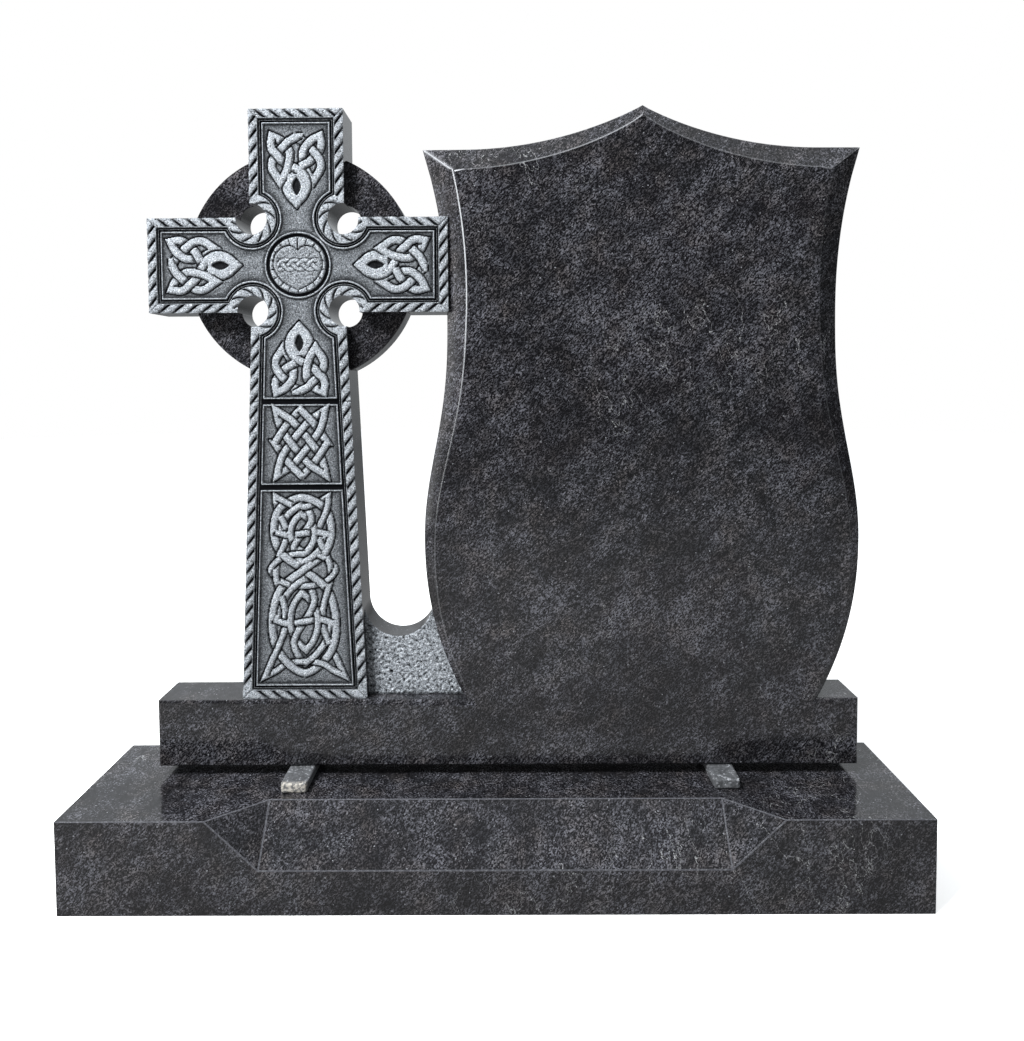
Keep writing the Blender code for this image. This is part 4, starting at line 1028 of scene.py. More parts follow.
def propeller():
    """Closed strand inside a round interlace, unchanged by half a turn about its hub."""
    half = [(0, 1, "tip"), (-0.45, 0.76), (-0.82, 0.40), (-1, 0.03, "tip"), (-0.60, -0.05), (0, 0),
            (0.60, 0.05), (1, -0.03, "tip"), (0.82, -0.40), (0.45, -0.76)]
    return half + [(0, -1, "tip"), (-0.27, -0.76), (-0.38, -0.50), (-0.25, -0.26), (0, 0), (0.25, 0.26),
                   (0.38, 0.50), (0.27, 0.76)]


def hub_ring():
    """Pointed oval round the hub of a round interlace."""
    half = [(-0.06, 0.68, "tip"), (0.28, 0.46), (0.48, 0.16), (0.48, -0.16), (0.32, -0.46)]
    return half + [(-u, -v, *kind) for u, v, *kind in half]


def tall_knot():
    """Two round interlaces on a figure of eight, a strand with four corner tips and a band round the waist.

    Their points are in millimetres above the foot of the knot, apart from the interlaces' and the band's own.
    """
    bottom = -CROSS_RISE + 0.033
    eight = [(0, 355), (42, 335), (55, 295), (44, 252), (0, 216), (-44, 179), (-61, 119), (-50, 57), (0, 16),
             (50, 57), (61, 119), (44, 179), (0, 216), (-44, 252), (-55, 295), (-42, 335)]
    cornered = mirrored([(0, 337), (22, 342), (50, 357, "tip"), (49, 341), (42, 320), (32, 297), (33, 272),
                         (45, 245), (52, 221), (52, 199), (45, 172), (37, 142), (37, 104), (50, 68), (64, 38),
                         (76, 10, "tip"), (56, 20), (34, 34), (0, 38)])
    strands = [Strand(moved(eight, 0.001, 0.001, 0, bottom), 0.0135),
               Strand(moved(cornered, 0.001, 0.001, 0, bottom), 0.0105)]
    waist = [(-1, 0), (-0.62, 0.72), (0, 0.92), (0.62, 0.72), (1, 0), (0.62, -0.72), (0, -0.92),
             (-0.62, -0.72)]
    strands.append(Strand(moved(waist, 0.062, 0.034, 0, bottom + 0.216), 0.0100))
    for half_width, half_height, rise in ((46, 56, 286), (53, 82, 116)):
        for path in (propeller(), hub_ring()):
            placed = moved(path, half_width / 1000, half_height / 1000, 0, bottom + rise / 1000)
            strands.append(Strand(placed, 0.0112))
    return strands


def along_stretch(u, v, places, arcs, tips, reach):
    """For the points near a line: their indices, their distance from it and the arc length beside them."""
    low, high = places.min(axis=0) - reach, places.max(axis=0) + reach
    near = np.flatnonzero((u > low[0]) & (u < high[0]) & (v > low[1]) & (v < high[1]))
    if not len(near):
        return near, np.array([]), np.array([])
    spots = np.column_stack([u[near], v[near]])
    ways = np.diff(places, axis=0)
    lengths = np.linalg.norm(ways, axis=1)
    ways = ways / lengths[:, None]
    offset = spots[:, None] - places[None, :-1]
    share = (offset * ways).sum(axis=2)
    clamped = np.clip(share, 0, lengths)
    apart = np.linalg.norm(offset - clamped[..., None] * ways, axis=2)
    best = apart.argmin(axis=1)
    rows = np.arange(len(near))
    distance = apart[rows, best]
    before_start = (best == 0) & (share[rows, 0] < 0)
    past_end = (best == len(ways) - 1) & (share[rows, -1] > lengths[-1])
    for index in np.flatnonzero(tips):
        at_tip = ((best == index) & (share[rows, best] <= 0)) | ((best == index - 1)
                                                                 & (share[rows, best] >= lengths[best]))
        picked = np.flatnonzero(at_tip)
        gap = spots[picked] - places[index]
        sides = [abs(gap[:, 0] * way[1] - gap[:, 1] * way[0]) for way in (ways[index - 1], ways[index])]
        far = np.linalg.norm(gap, axis=1)
        distance[picked] = np.where(far < 1.35 * reach, np.maximum(*sides), far)
    arc = arcs[best] + clamped[rows, best]
    kept = ~before_start & ~past_end & (distance < reach)
    return near[kept], distance[kept], arc[kept]


def paint_ribbons(u, v, depth, tone, strands):
    """Lays the woven ribbons into the field: the lower stretches first, each kind after its own dark outline.

    Before the outlines, the ground and the lower stretches are shaded a little way beside each ribbon.
    """
    carve = bpy.context.scene.headstone_carving
    weave(strands)
    layers = {False: [], True: []}
    for strand in strands:
        half = strand.width / 2
        for start, end, visit in strand.spans():
            places, arcs, tips = strand.stretch(start, end)
            found = along_stretch(u, v, places, arcs, tips, half + carve.moat + FADE)
            layers[visit is None or visit["over"]].append((*found, half, visit))
    for over in (False, True):
        shaded = np.ones(len(u))
        for where, distance, _, half, _ in layers[over]:
            foot = half + carve.moat
            fade = (0.55 if over else 0.35) + smoothstep(distance, foot, foot + FADE)
            shaded[where] = np.minimum(shaded[where], fade)
        tone *= shaded
        for where, distance, _, half, _ in layers[over]:
            spots = where[(distance >= half) & (distance < half + carve.moat)]
            depth[spots] = np.maximum(depth[spots], CROSS_FRONT + MOAT_DEPTH)
            tone[spots] = 0.0
        for where, distance, arc, half, visit in layers[over]:
            inside = distance < half
            spots, across = where[inside], distance[inside] / half
            level = carve.ribbon_drop + 0.0019 * across ** 2.6
            shade = 1.0 - 0.30 * smoothstep(across, 0.50, 1.0)
            if visit is not None and not visit["over"]:
                reach = (visit["width"] / 2 + 0.001) / max(visit["sine"], 0.3)
                under = 1 - smoothstep(abs(arc[inside] - visit["arc"]), reach, reach + 0.006)
                level = level + carve.dip * under
                shade = shade * (1 - 0.35 * under)
            depth[spots] = CROSS_FRONT + level
            tone[spots] = shade


def edges_of_cross(u, v):
    """Distance in from the nearest edge of the cross, and which edge that is."""
    cross = bpy.context.scene.headstone_cross
    lean = (cross.foot_half - cross.arm_half) / (CROSS_RISE - cross.arm_half)
    upright = np.array([(shaft_half(v) - abs(u)) / math.hypot(1, lean), cross.top_arm - v, v + CROSS_RISE])
    crossbar = np.array([cross.arm_half - abs(v), cross.arm_span - abs(u)])
    upright_near, crossbar_near = upright.min(axis=0), crossbar.min(axis=0)
    inset = np.maximum(upright_near, crossbar_near)
    owner = np.where(upright_near >= crossbar_near, upright.argmin(axis=0), 3 + crossbar.argmin(axis=0))
    mitre = np.where(upright_near >= crossbar_near,
                     np.minimum(abs(upright[0] - upright[1]), abs(upright[0] - upright[2])),
                     abs(crossbar[0] - crossbar[1]))
    hole = np.hypot(abs(u) - cross.hole_offset, abs(v) - cross.hole_offset) - cross.hole_radius
    owner = np.where(hole < inset, 5, owner)
    mitre = np.where(hole < inset, 1.0, mitre)
    return np.minimum(inset, hole), owner, mitre


def rope_notches(u, v, owner):
    """Distance from the nearest slanted notch of the rope border, or one metre where there is none."""
    cross = bpy.context.scene.headstone_cross
    carve = bpy.context.scene.headstone_carving
    nearest = np.ones(len(u))
    clear = cross.hole_offset + cross.hole_radius
    foot = -CROSS_RISE
    width = carve.rope_width
    runs = [((-cross.arm_half, cross.top_arm), (cross.arm_half, cross.top_arm), (0, -1), -1, owner == 1),
            ((width - cross.foot_half, foot), (cross.foot_half - width, foot), (0, 1), -1, owner == 2)]
    for side in (-1, 1):
        arm, tip = side * cross.arm_half, side * cross.arm_span
        here = u * side > 0
        runs += [((arm, cross.top_arm), (arm, clear), (-side, 0), 1, here & (owner == 0) & (v > 0)),
                 ((arm, -clear), (side * cross.foot_half, foot + width / 2), (-side, 0), 1,
                  here & (owner == 0) & (v < 0)),
                 ((side * clear, cross.arm_half), (tip, cross.arm_half), (0, -1), -1,
                  here & (owner == 3) & (v > 0)),
                 ((side * clear, -cross.arm_half), (tip, -cross.arm_half), (0, 1), 1,
                  here & (owner == 3) & (v < 0)),
                 ((tip, cross.arm_half), (tip, -cross.arm_half), (-side, 0), 1, here & (owner == 4))]
    for start, end, inward, lean, here in runs:
        start, end, inward = np.array(start), np.array(end), np.array(inward)
        total = np.linalg.norm(end - start)
        along = (end - start) / total
        count = int((total - 0.036) / carve.rope_pitch) + 1
        first = (total - (count - 1) * carve.rope_pitch) / 2
        rising = np.array([0, 1]) if inward[0] else np.array([lean, 0])
        toward = inward if inward[0] + inward[1] > 0 else -inward
        way = toward * width / 2 + rising * carve.rope_slant / 2
        way = way / np.linalg.norm(way)
        middle = start + along * first + inward * width / 2
        offset = (u[here] - middle[0]) * way[1] - (v[here] - middle[1]) * way[0]
        spacing = (along[0] * way[1] - along[1] * way[0]) * carve.rope_pitch
        index = np.clip(np.round(offset / spacing), 0, count - 1)
        nearest[here] = abs(offset - index * spacing)
    here = owner == 5
    side, level = np.sign(u[here]), np.sign(v[here])
    across, up = side * u[here] - cross.hole_offset, level * v[here] - cross.hole_offset
    away = np.hypot(across, up)
    turn = np.mod(np.arctan2(up, across), 2 * math.pi)
    twist = 0.55 * (away - cross.hole_radius) / width
    index = np.clip(np.round((turn - twist - HOLE_ROPE_START) / HOLE_ROPE_PITCH), 0, 6)
    nearest[here] = abs(turn - twist - HOLE_ROPE_START - index * HOLE_ROPE_PITCH) * away
    return nearest


def heart_points():
    """Outline of the heart, as (angle from the top, share of the boss's radius) turned into places."""
    half = [(0, 0.52), (17, 0.687), (31, 0.785), (50, 0.836), (67, 0.875), (88, 0.875), (104, 0.838),
            (123, 0.80), (138, 0.79), (165, 0.80), (180, 0.875)]
    radius = bpy.context.scene.headstone_carving.boss_radius
    places = np.array([(radius * far * math.sin(math.radians(turn)),
                        radius * far * math.cos(math.radians(turn))) for turn, far in half])
    right = np.array(catmull_rom(with_ends(places), 8) + [places[-1]])
    return np.vstack([right, right[-2:0:-1] * [-1, 1]])


def paint_boss(u, v, depth, tone):
    """The round boss: a groove, a rim parted by short radial cuts, and a heart with a plait across it."""
    carve = bpy.context.scene.headstone_carving
    away = np.hypot(u, v)
    inner, outer = carve.boss_radius, carve.boss_ring
    where = np.flatnonzero(away < outer + BOSS_REACH)
    radius, x, y = away[where], u[where], v[where]
    level = np.interp(radius, [inner - 0.0006, inner + 0.0006, outer - 0.0020, outer - 0.0012, outer + 0.0012,
                               outer + 0.0022, outer + 0.0042, outer + BOSS_REACH],
                      [0.0010, 0.0050, 0.0050, 0.0030, 0.0030, 0.0045, 0.0042, carve.ground_depth])
    shade = np.interp(radius, [inner - 0.0004, inner + 0.0005, outer - 0.0016, outer - 0.0008, outer + 0.0010,
                               outer + 0.0018, outer + 0.0036, outer + BOSS_REACH],
                      [0.86, 0.0, 0.0, 0.40, 0.40, 0.02, 0.10, 0.32])
    outline = heart_points()
    closed = np.vstack([outline, outline[:1]])
    ways = np.diff(closed, axis=0)
    lengths = np.linalg.norm(ways, axis=1)
    ways = ways / np.maximum(lengths, 1e-9)[:, None]
    offset = np.column_stack([x, y])[:, None] - closed[None, :-1]
    share = np.clip((offset * ways).sum(axis=2), 0, lengths)
    apart = np.linalg.norm(offset - share[..., None] * ways, axis=2).min(axis=1)
    turns = np.arctan2(outline[:, 1], outline[:, 0])
    order = np.argsort(turns)
    reach = np.interp(np.arctan2(y, x), turns[order], np.hypot(*outline.T)[order], period=2 * math.pi)
    in_heart = radius < reach
    pitch = 2 * math.pi / 18
    aside = abs(np.mod(np.arctan2(y, x) / pitch, 1) - 0.5) * pitch * radius
    cut = ~in_heart & (radius < inner - 0.0006) & (aside < 0.0011)
    level = np.where(cut, 0.0034, level)
    shade = np.where(cut, 0.02, shade)
    groove = ~in_heart & (apart < 0.0022)
    level = np.where(groove, 0.0046, level)
    shade = np.where(groove, 0.03, shade)
    level = np.where(in_heart, 0.0016 + 0.0008 * smoothstep(-apart, -0.004, 0), level)
    shade = np.where(in_heart, 0.56, shade)
    swing, wave, plait_rise, plait_half = 0.0088, 0.056, 0.0005, 0.0375
    strands = []
    for k in range(3):
        phase = 2 * math.pi * x / wave + 2 * math.pi * k / 3
        slope = 2 * math.pi * swing / wave * np.cos(phase)
        gap = abs(y - plait_rise - swing * np.sin(phase)) / np.sqrt(1 + slope ** 2)
        strands.append((np.sin(2 * phase + math.pi / 6), gap))
    lift, gaps = (np.array(values) for values in zip(*strands))
    order = lift.argsort(axis=0)
    for rank in range(3):
        picked = order[rank][None]
        gap = np.take_along_axis(gaps, picked, 0)[0]
        crown = np.take_along_axis(lift, picked, 0)[0]
        spot = in_heart & (abs(x) < plait_half) & (gap < carve.plait + 0.0013)
        inside = spot & (gap < carve.plait)
        level = np.where(spot, 0.0038, level)
        shade = np.where(spot, 0.04, shade)
        level = np.where(inside, 0.0012 - 0.0004 * crown + 0.0009 * (gap / carve.plait) ** 2, level)
        shade = np.where(inside, 0.92 - 0.25 * (gap / carve.plait) ** 2, shade)
    depth[where] = CROSS_FRONT + level
    tone[where] = shade


def carved_depth(u, v, grain):
    """Depth (as a y) and tone of the carved face at each point."""
    carve = bpy.context.scene.headstone_carving
    inset, owner, mitre = edges_of_cross(u, v)
    width = carve.rope_width
    across = np.clip(inset / width, 0, 1)
    rope = 0.0011 * (1 - 4 * across * (1 - across)) ** 1.6
    gap = rope_notches(u, v, owner)
    taper = 0.55 + 0.45 * smoothstep(across, 0.0, 0.6)
    rope = rope + 0.0011 * smoothstep(-gap, -0.0075, -0.0015)
    rope = rope + carve.notch_depth * taper * np.clip(1 - gap / (0.0016 + 0.0014 * taper), 0, 1)
    # Painted shade: each lay of the rope darkens towards its notches, and the notches themselves are darker
    # still
    rope_tone = 0.88 - 0.36 * smoothstep(-gap, -0.0085, -0.002)
    rope_tone = rope_tone - 0.68 * taper * smoothstep(-gap, -0.0032, -0.0010)
    corner = np.clip(1 - mitre / 0.0017, 0, 1)
    rope = rope + 0.0026 * corner
    rope_tone = rope_tone - 0.6 * smoothstep(corner, 0.1, 0.7)
    divider = np.minimum(abs(v - HIGH_DIVIDER), abs(v - LOW_DIVIDER))
    edge = np.minimum(inset - width - GROOVE_START, divider + DIVIDER_HALF)
    groove = carve.groove_width
    bead = groove + 2.2 * carve.bead
    level = np.interp(edge, [-0.0006, 0.0008, groove - 0.0004, groove + 0.0006, bead - 0.0004, bead + 0.0008,
                             bead + 0.0022, bead + 0.0060],
                      [0.0014, carve.groove_depth, carve.groove_depth, BEAD_FOOT, BEAD_FOOT, 0.0046, 0.0042,
                       carve.ground_depth])
    shade = np.interp(edge, [-0.0004, 0.0006, groove, groove + 0.0010, bead, bead + 0.0010, bead + 0.0030,
                             bead + 0.0080, bead + 0.020],
                      [0.20, 0.0, 0.0, 0.30, 0.30, 0.02, 0.10, 0.25, 0.40])
    on_rope = inset < width
    depth = CROSS_FRONT + np.where(on_rope, rope, level)
    tone = np.where(on_rope, rope_tone, shade)
    ground = ~on_rope & (edge > bead + 0.0015)
    paint_boss(u, v, depth, tone)
    before = depth.copy()
    if v.max() > 0:
        for toward in TOWARD_BOSS:
            paint_ribbons(u, v, depth, tone, arm_knot(toward))
        for toward in TOWARD_BOSS:
            paint_leaf(u, v, depth, tone, toward)
    else:
        paint_ribbons(u, v, depth, tone, square_knot())
        paint_ribbons(u, v, depth, tone, tall_knot())
    raised = tone > 0.5
    bare = ground & (before == depth)
    rough = np.where(bare, 1.2, np.where(raised, 0.50, 0.10))
    rough = np.where(on_rope & (tone > 0.3), 0.62, rough)
    depth = depth + carve.stipple * grain * rough
    # Painted shade in the stipple: where a point sinks deeper, its tone is darker
    tone = tone * (1 - 0.28 * np.clip(grain, -1, 1) * (rough > 0.3))
    return np.maximum(depth, CROSS_FRONT), tone


def carved_face(name, us, vs):
    """One part of the carved face on a grid, whose columns spread with the shaft.

    Both parts have one depth along the seam where they meet, in the groove between two panels.
    """
    cross = bpy.context.scene.headstone_cross
    columns, rows = len(us), len(vs)
    u, v = (values.ravel() for values in np.meshgrid(us, vs))
    in_upright = abs(us[:-1] + us[1:])[:, None] / 2 < cross.arm_half
    in_crossbar = abs(vs[:-1] + vs[1:])[None, :] / 2 < cross.arm_half
    faces = grid_faces(columns, rows, in_upright | in_crossbar)
    places = np.column_stack([u * shaft_half(v) / cross.arm_half, v])
    for side in (-1, 1):
        for level in (-1, 1):
            faces = open_round(places, faces, np.array([side, level]) * cross.hole_offset, cross.hole_radius)
    depth, tone = carved_depth(places[:, 0], places[:, 1], stipple(len(places), columns, SEED + rows))
    at_seam = abs(places[:, 1] - HIGH_DIVIDER) < WELD
    depth[at_seam] = CROSS_FRONT + SEAM_DEPTH
    places = places + np.array([CROSS_X, CROSS_Z])
    return closed_field(name, places, faces, depth, tone, CROSS_FRONT + FACE_DEPTH)


def web_panel():
    """The blasted panel that ties the foot of the cross to the tablet, under the round bottom of the gap."""
    xs, zs = steps(WEB_LEFT, WEB_RIGHT, WEB_CELL), steps(PLINTH_TOP - SUNK, GAP_Z, WEB_CELL)
    x, z = (values.ravel() for values in np.meshgrid(xs, zs))
    places = np.column_stack([x, z])
    faces = grid_faces(len(xs), len(zs), np.ones((len(xs) - 1, len(zs) - 1), bool))
    faces = open_round(places, faces, np.array([GAP_X, GAP_Z]), GAP_RADIUS)
    grain = stipple(len(places), len(xs), SEED)
    edge = np.hypot(places[:, 0] - GAP_X, places[:, 1] - GAP_Z) - GAP_RADIUS
    inside = smoothstep(edge, 0.0004, 0.003)
    lumps = np.array([noise.fractal(Vector((a, b, 0)) * 170, 0.8, 2.0, 2) for a, b in places])
    depth = WEB_FRONT + 0.0008 * (1 - inside) + 0.0011 + (0.0006 * grain + 0.0016 * lumps) * inside
    # Painted shade: the web is darker where its grain and lumps sink deeper
    tone = 0.74 - 0.30 * grain - 0.95 * lumps
    # Painted shade along the foot, where the web meets the plinth, and painted shadow beside the cross on the
    # web's left side
    tone *= 0.15 + 0.85 * smoothstep(places[:, 1], PLINTH_TOP + 0.001, PLINTH_TOP + 0.006)
    tone *= 0.55 + 0.45 * smoothstep(places[:, 0], WEB_LEFT + 0.02, WEB_LEFT + 0.05)
    return closed_field("web", places, faces, np.maximum(depth, WEB_FRONT), tone, WEB_BACK)


# Raised lines

def head_outline(inset, floor):
    """Outline of the head's panel at this distance from the edges of the cross, down to a level floor."""
    cross = bpy.context.scene.headstone_cross
    half_arm = cross.arm_half - inset
    half = [(half_arm, cross.top_arm - inset)] + corner_arc(inset, 48)
    half += [(cross.arm_span - inset, half_arm), (cross.arm_span - inset, -half_arm)]
    half += lower_corner_arc(inset, 48)
    half.append((float(shaft_half(floor, inset)), floor))
    return on_cross(half)


def panel_outline(inset, floor, ceiling):
    return on_cross([(float(shaft_half(ceiling, inset)), ceiling), (float(shaft_half(floor, inset)), floor)])


def bead_tree():
    """Geometry nodes that sweep a round bead of a given radius along the lines of a mesh."""
    tree = bpy.data.node_groups.new("Raised Line", "GeometryNodeTree")
    for name, kind, way in (("Lines", "NodeSocketGeometry", "INPUT"), ("Radius", "NodeSocketFloat", "INPUT"),
                            ("Sides", "NodeSocketInt", "INPUT"), ("Stone", "NodeSocketMaterial", "INPUT"),
                            ("Beads", "NodeSocketGeometry", "OUTPUT")):
        tree.interface.new_socket(name=name, in_out=way, socket_type=kind)
    nodes, link = tree.nodes, tree.links.new
    given, result = nodes.new("NodeGroupInput"), nodes.new("NodeGroupOutput")
    to_curve = nodes.new("GeometryNodeMeshToCurve")
    profile = nodes.new("GeometryNodeCurvePrimitiveCircle")
    sweep = nodes.new("GeometryNodeCurveToMesh")
    real = nodes.new("GeometryNodeRealizeInstances")
    paint = nodes.new("GeometryNodeSetMaterial")
    link(given.outputs["Lines"], to_curve.inputs["Mesh"])
    link(given.outputs["Radius"], profile.inputs["Radius"])
    link(given.outputs["Sides"], profile.inputs["Resolution"])
    link(to_curve.outputs["Curve"], sweep.inputs["Curve"])
    link(profile.outputs["Curve"], sweep.inputs["Profile Curve"])
    link(sweep.outputs["Mesh"], real.inputs["Geometry"])
    link(real.outputs["Geometry"], paint.inputs["Geometry"])
    link(given.outputs["Stone"], paint.inputs["Material"])
    link(paint.outputs["Geometry"], result.inputs["Beads"])
    return tree


def raised_lines(name, outlines, y, radius, tone):
    """Round beads along closed (x, z) outlines, made with geometry nodes and kept as a plain mesh."""
    mesh = bpy.data.meshes.new(name)
    verts, edges = [], []
    for outline in outlines:
        first = len(verts)
        verts += [(x, y, z) for x, z in outline]
        edges += [(first + k, first + (k + 1) % len(outline)) for k in range(len(outline))]
    mesh.from_pydata(verts, edges, [])
    stone = carved_stone()
    lines = add_object(name + "_lines", mesh, stone)
    tree = bpy.data.node_groups.get("Raised Line") or bead_tree()
    modifier = lines.modifiers.new("raised_line", "NODES")
    modifier.node_group = tree
    inputs = {item.name: item.identifier for item in tree.interface.items_tree if item.in_out == "INPUT"}
    modifier[inputs["Radius"]] = radius
    modifier[inputs["Sides"]] = 10
    modifier[inputs["Stone"]] = stone
    swept = plain_mesh(lines, name)
    layer = swept.attributes.new("tone", "FLOAT", "POINT")
    layer.data.foreach_set("value", np.full(len(swept.vertices), tone, np.float32))
    for polygon in swept.polygons:
        polygon.use_smooth = True
    bm = bmesh.new()
    bm.from_mesh(swept)
    bmesh.ops.recalc_face_normals(bm, faces=bm.faces)
    bm.to_mesh(swept)
    bm.free()
    return add_object(name, swept, stone)


# Stage

def pale_floor():
    """A wide pale floor under the stone."""
    bm = bmesh.new()
    bmesh.ops.create_circle(bm, cap_ends=True, segments=96, radius=FLOOR_RADIUS)
    return add_object("floor", mesh_from_bmesh("floor", bm), once("seamless_paper", seamless_paper))


def area_light(name, place, target, size, watts):
    """A rectangular light that faces its target."""
    lamp = bpy.data.lights.new(name, "AREA")
    lamp.shape = "RECTANGLE"
    lamp.size, lamp.size_y = size
    lamp.energy = watts
    obj = bpy.data.objects.new(name, lamp)
    obj.location = place
    obj.rotation_mode = "QUATERNION"
    obj.rotation_quaternion = (Vector(target) - Vector(place)).to_track_quat("-Z", "Y")
    bpy.context.scene.collection.objects.link(obj)
    return obj


def soft_sky(strength):
    """Light from all round, strongest from above and behind. Where it is seen directly it is plain white."""
    world = bpy.data.worlds.new("soft_sky")
    world.use_nodes = True
    nodes, link = world.node_tree.nodes, world.node_tree.links.new
    light = nodes["Background"]
    light.inputs["Color"].default_value = (0.93, 0.97, 1.0, 1)
    seen = nodes.new("ShaderNodeBackground")
    seen.inputs["Color"].default_value = (1, 1, 1, 1)
    way = nodes.new("ShaderNodeTexCoord")
    split = nodes.new("ShaderNodeSeparateXYZ")
    level = nodes.new("ShaderNodeMapRange")
    level.interpolation_type = "SMOOTHSTEP"
    for name, value in (("From Min", 0.0), ("From Max", 1.2), ("To Min", 0.06 * strength),
                        ("To Max", strength)):
        level.inputs[name].default_value = value
    path = nodes.new("ShaderNodeLightPath")
    choice = nodes.new("ShaderNodeMixShader")
    link(way.outputs["Generated"], split.inputs["Vector"])
    tilt = nodes.new("ShaderNodeMath")
    tilt.operation = "MULTIPLY_ADD"
    tilt.inputs[1].default_value = 0.4
    link(split.outputs["Y"], tilt.inputs[0])
    link(split.outputs["Z"], tilt.inputs[2])
    link(tilt.outputs["Value"], level.inputs["Value"])
    link(level.outputs["Result"], light.inputs["Strength"])
    link(path.outputs["Is Camera Ray"], choice.inputs[0])
    link(light.outputs["Background"], choice.inputs[1])
    link(seen.outputs["Background"], choice.inputs[2])
    link(choice.outputs["Shader"], nodes["World Output"].inputs["Surface"])
    bpy.context.scene.world = world
    bpy.context.scene.view_settings.view_transform = "Standard"


def photo_camera(lens):
    """Camera at the photograph's place and angle."""
    yaw, pitch, roll = CAMERA_YAW, CAMERA_PITCH, CAMERA_ROLL
    ahead = Vector((math.sin(yaw) * math.cos(pitch), math.cos(yaw) * math.cos(pitch), -math.sin(pitch)))
    right = Vector((math.cos(yaw), -math.sin(yaw), 0))
    down = ahead.cross(right)
    across = math.cos(roll) * right + math.sin(roll) * down
    lower = -math.sin(roll) * right + math.cos(roll) * down
    lens_data = bpy.data.cameras.new("photo_camera")
    lens_data.sensor_fit = "HORIZONTAL"
    lens_data.sensor_width = SENSOR_WIDTH
    lens_data.lens = lens
    lens_data.shift_x, lens_data.shift_y = CAMERA_SHIFT
    camera = bpy.data.objects.new("photo_camera", lens_data)
    turned = Matrix((across, -lower, -ahead)).transposed().to_4x4()
    camera.matrix_world = Matrix.Translation(CAMERA_PLACE) @ turned
    bpy.context.scene.collection.objects.link(camera)
    bpy.context.scene.camera = camera


# Operators

class HEADSTONE_OT_base(bpy.types.Operator):
    """Base block of polished granite with its stopped chamfer"""
    bl_idname = "headstone.base"
    bl_label = "Base Block"

    def execute(self, context):
        part_of_stone(block_of_base(), "base")
        return {"FINISHED"}


class HEADSTONE_OT_packing(bpy.types.Operator):
    """Two sawn strips between the base and the upright stone"""
    bl_idname = "headstone.packing"
    bl_label = "Packing Strips"

    def execute(self, context):
        for node in ("packing_strip_left", "packing_strip_right"):
            part_of_stone(packing_strip(node), node)
        return {"FINISHED"}


class HEADSTONE_OT_tablet(bpy.types.Operator):
    """Shield tablet and plinth, polished, cut from one slab"""
    bl_idname = "headstone.tablet"
    bl_label = "Tablet and Plinth"

    def execute(self, context):
        part_of_stone(tablet_and_plinth(), "headstone")
        return {"FINISHED"}


class HEADSTONE_OT_cross(bpy.types.Operator):
    """Body of the cross, its ring and the panel that ties it to the tablet"""
    bl_idname = "headstone.cross"
    bl_label = "Cross, Ring and Web"

    def execute(self, context):
        for piece in (cross_body(), *ring_quarters(), web_panel()):
            part_of_stone(piece)
        return {"FINISHED"}


class HEADSTONE_OT_carving(bpy.types.Operator):
    """Carved face of the cross: rope border, knots, heart and blasted ground"""
    bl_idname = "headstone.carving"
    bl_label = "Carved Face"

    def execute(self, context):
        cross, cell = context.scene.headstone_cross, context.scene.headstone_carving.cell
        middle = steps(-cross.arm_half, cross.arm_half, cell)
        wide = joined(steps(-cross.arm_span, -cross.arm_half, cell), middle,
                      steps(cross.arm_half, cross.arm_span, cell))
        tall = joined(steps(HIGH_DIVIDER, -cross.arm_half, cell), middle,
                      steps(cross.arm_half, cross.top_arm, cell))
        part_of_stone(carved_face("cross_head_face", wide, tall))
        low = steps(-CROSS_RISE, HIGH_DIVIDER, cell)
        part_of_stone(carved_face("cross_shaft_face", middle, low))
        return {"FINISHED"}


class HEADSTONE_OT_lines(bpy.types.Operator):
    """Raised lines round the panels and the boss, swept along their outlines"""
    bl_idname = "headstone.lines"
    bl_label = "Raised Lines"

    def execute(self, context):
        carve = context.scene.headstone_carving
        outer = carve.rope_width + GROOVE_START + carve.groove_width + 1.1 * carve.bead
        step = carve.groove_width - DIVIDER_HALF + 1.1 * carve.bead
        outlines = [head_outline(outer, HIGH_DIVIDER + step),
                    panel_outline(outer, LOW_DIVIDER + step, HIGH_DIVIDER - step),
                    panel_outline(outer, -CROSS_RISE + outer, LOW_DIVIDER - step),
                    arc_points(CROSS_X, CROSS_Z, carve.boss_ring, 0, 2 * math.pi * (1 - 1 / 120), 120)]
        middle = carve.rope_width + GROOVE_START + 0.44 * carve.groove_width
        inner = carve.rope_width - 0.0004
        whole = [[head_outline(inset, -CROSS_RISE + inset)] for inset in (middle, inner)]
        for name, lines, depth, radius, tone in (("panel_lines", outlines, 0.0027, carve.bead, 0.95),
                                                 ("groove_line", whole[0], 0.0040, carve.thin_bead, 0.30),
                                                 ("rope_line", whole[1], 0.0012, carve.thin_bead, 0.75)):
            part_of_stone(raised_lines(name, lines, CROSS_FRONT + depth, radius, tone))
        return {"FINISHED"}


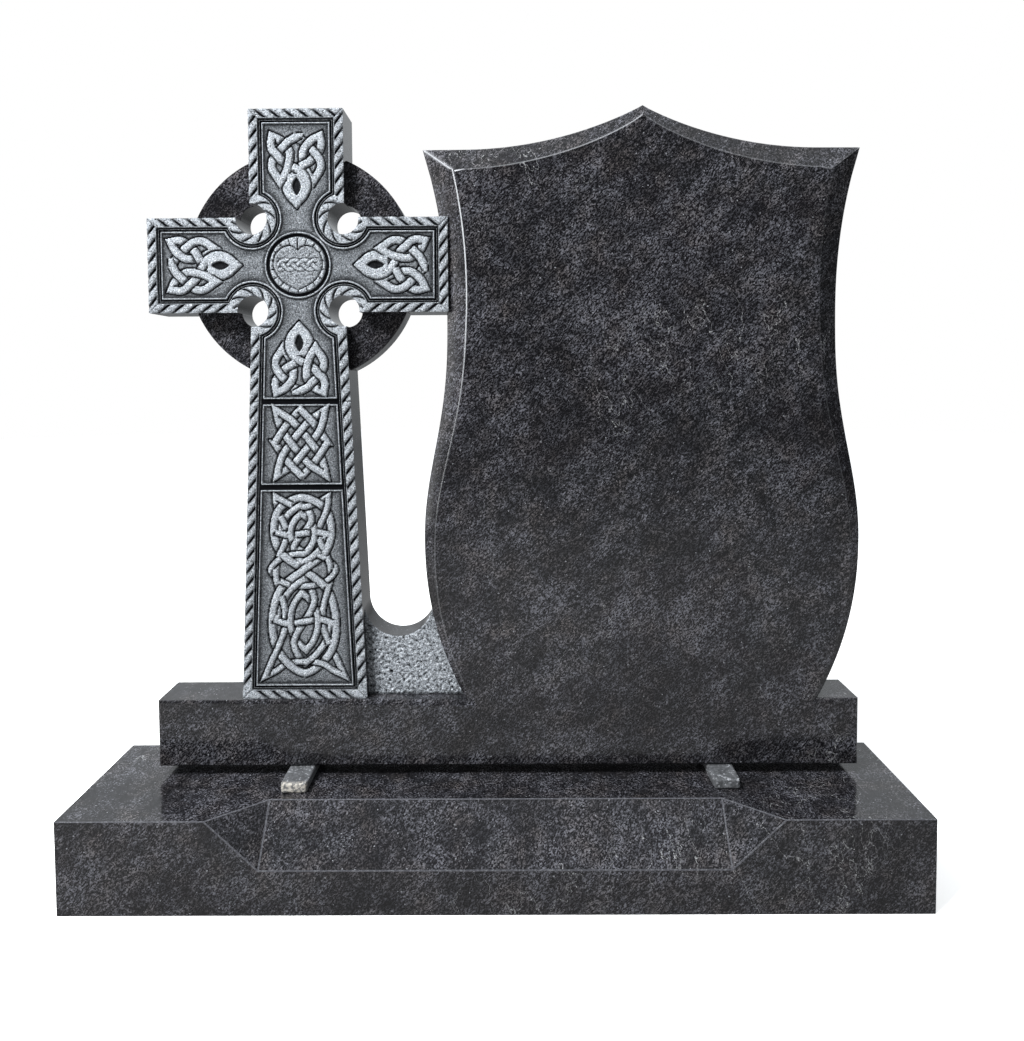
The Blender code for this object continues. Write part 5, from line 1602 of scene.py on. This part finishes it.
class HEADSTONE_OT_stage(bpy.types.Operator):
    """Pale floor and backdrop, soft studio light and the camera"""
    bl_idname = "headstone.stage"
    bl_label = "Stage"

    def execute(self, context):
        stage = context.scene.headstone_stage
        pale_floor()
        soft_sky(stage.sky)
        for name, place, target, size, is_mirrored in LIGHTS:
            area_light(name, place, target, size, getattr(stage, name)).visible_glossy = is_mirrored
        photo_camera(stage.lens)
        return {"FINISHED"}


class HEADSTONE_PT_panel(bpy.types.Panel):
    """Lists the steps that build the headstone"""
    bl_idname = "HEADSTONE_PT_panel"
    bl_label = "Celtic Cross Headstone"
    bl_space_type = "VIEW_3D"
    bl_region_type = "UI"
    bl_category = "Headstone"

    def draw(self, context):
        scene = context.scene
        for group in GROUPS:
            box = self.layout.box()
            settings = getattr(scene, group)
            for name in settings.__annotations__:
                box.prop(settings, name)
        for operator in OPERATORS:
            self.layout.operator(operator.bl_idname)


GROUPS = {"headstone_base": HeadstoneBase, "headstone_tablet": HeadstoneTablet,
          "headstone_cross": HeadstoneCross, "headstone_carving": HeadstoneCarving,
          "headstone_colours": HeadstoneColours, "headstone_stage": HeadstoneStage}
OPERATORS = (HEADSTONE_OT_base, HEADSTONE_OT_packing, HEADSTONE_OT_tablet, HEADSTONE_OT_cross,
             HEADSTONE_OT_carving, HEADSTONE_OT_lines, HEADSTONE_OT_stage)


def register():
    for item in (*GROUPS.values(), *OPERATORS, HEADSTONE_PT_panel):
        bpy.utils.register_class(item)
    for name, group in GROUPS.items():
        setattr(bpy.types.Scene, name, bpy.props.PointerProperty(type=group))


def unregister():
    for name in GROUPS:
        delattr(bpy.types.Scene, name)
    for item in reversed((*GROUPS.values(), *OPERATORS, HEADSTONE_PT_panel)):
        bpy.utils.unregister_class(item)


def main():
    register()
    bpy.ops.headstone.base()
    bpy.ops.headstone.packing()
    bpy.ops.headstone.tablet()
    bpy.ops.headstone.cross()
    bpy.ops.headstone.carving()
    bpy.ops.headstone.lines()
    bpy.ops.headstone.stage()


if __name__ == "__main__":
    main()
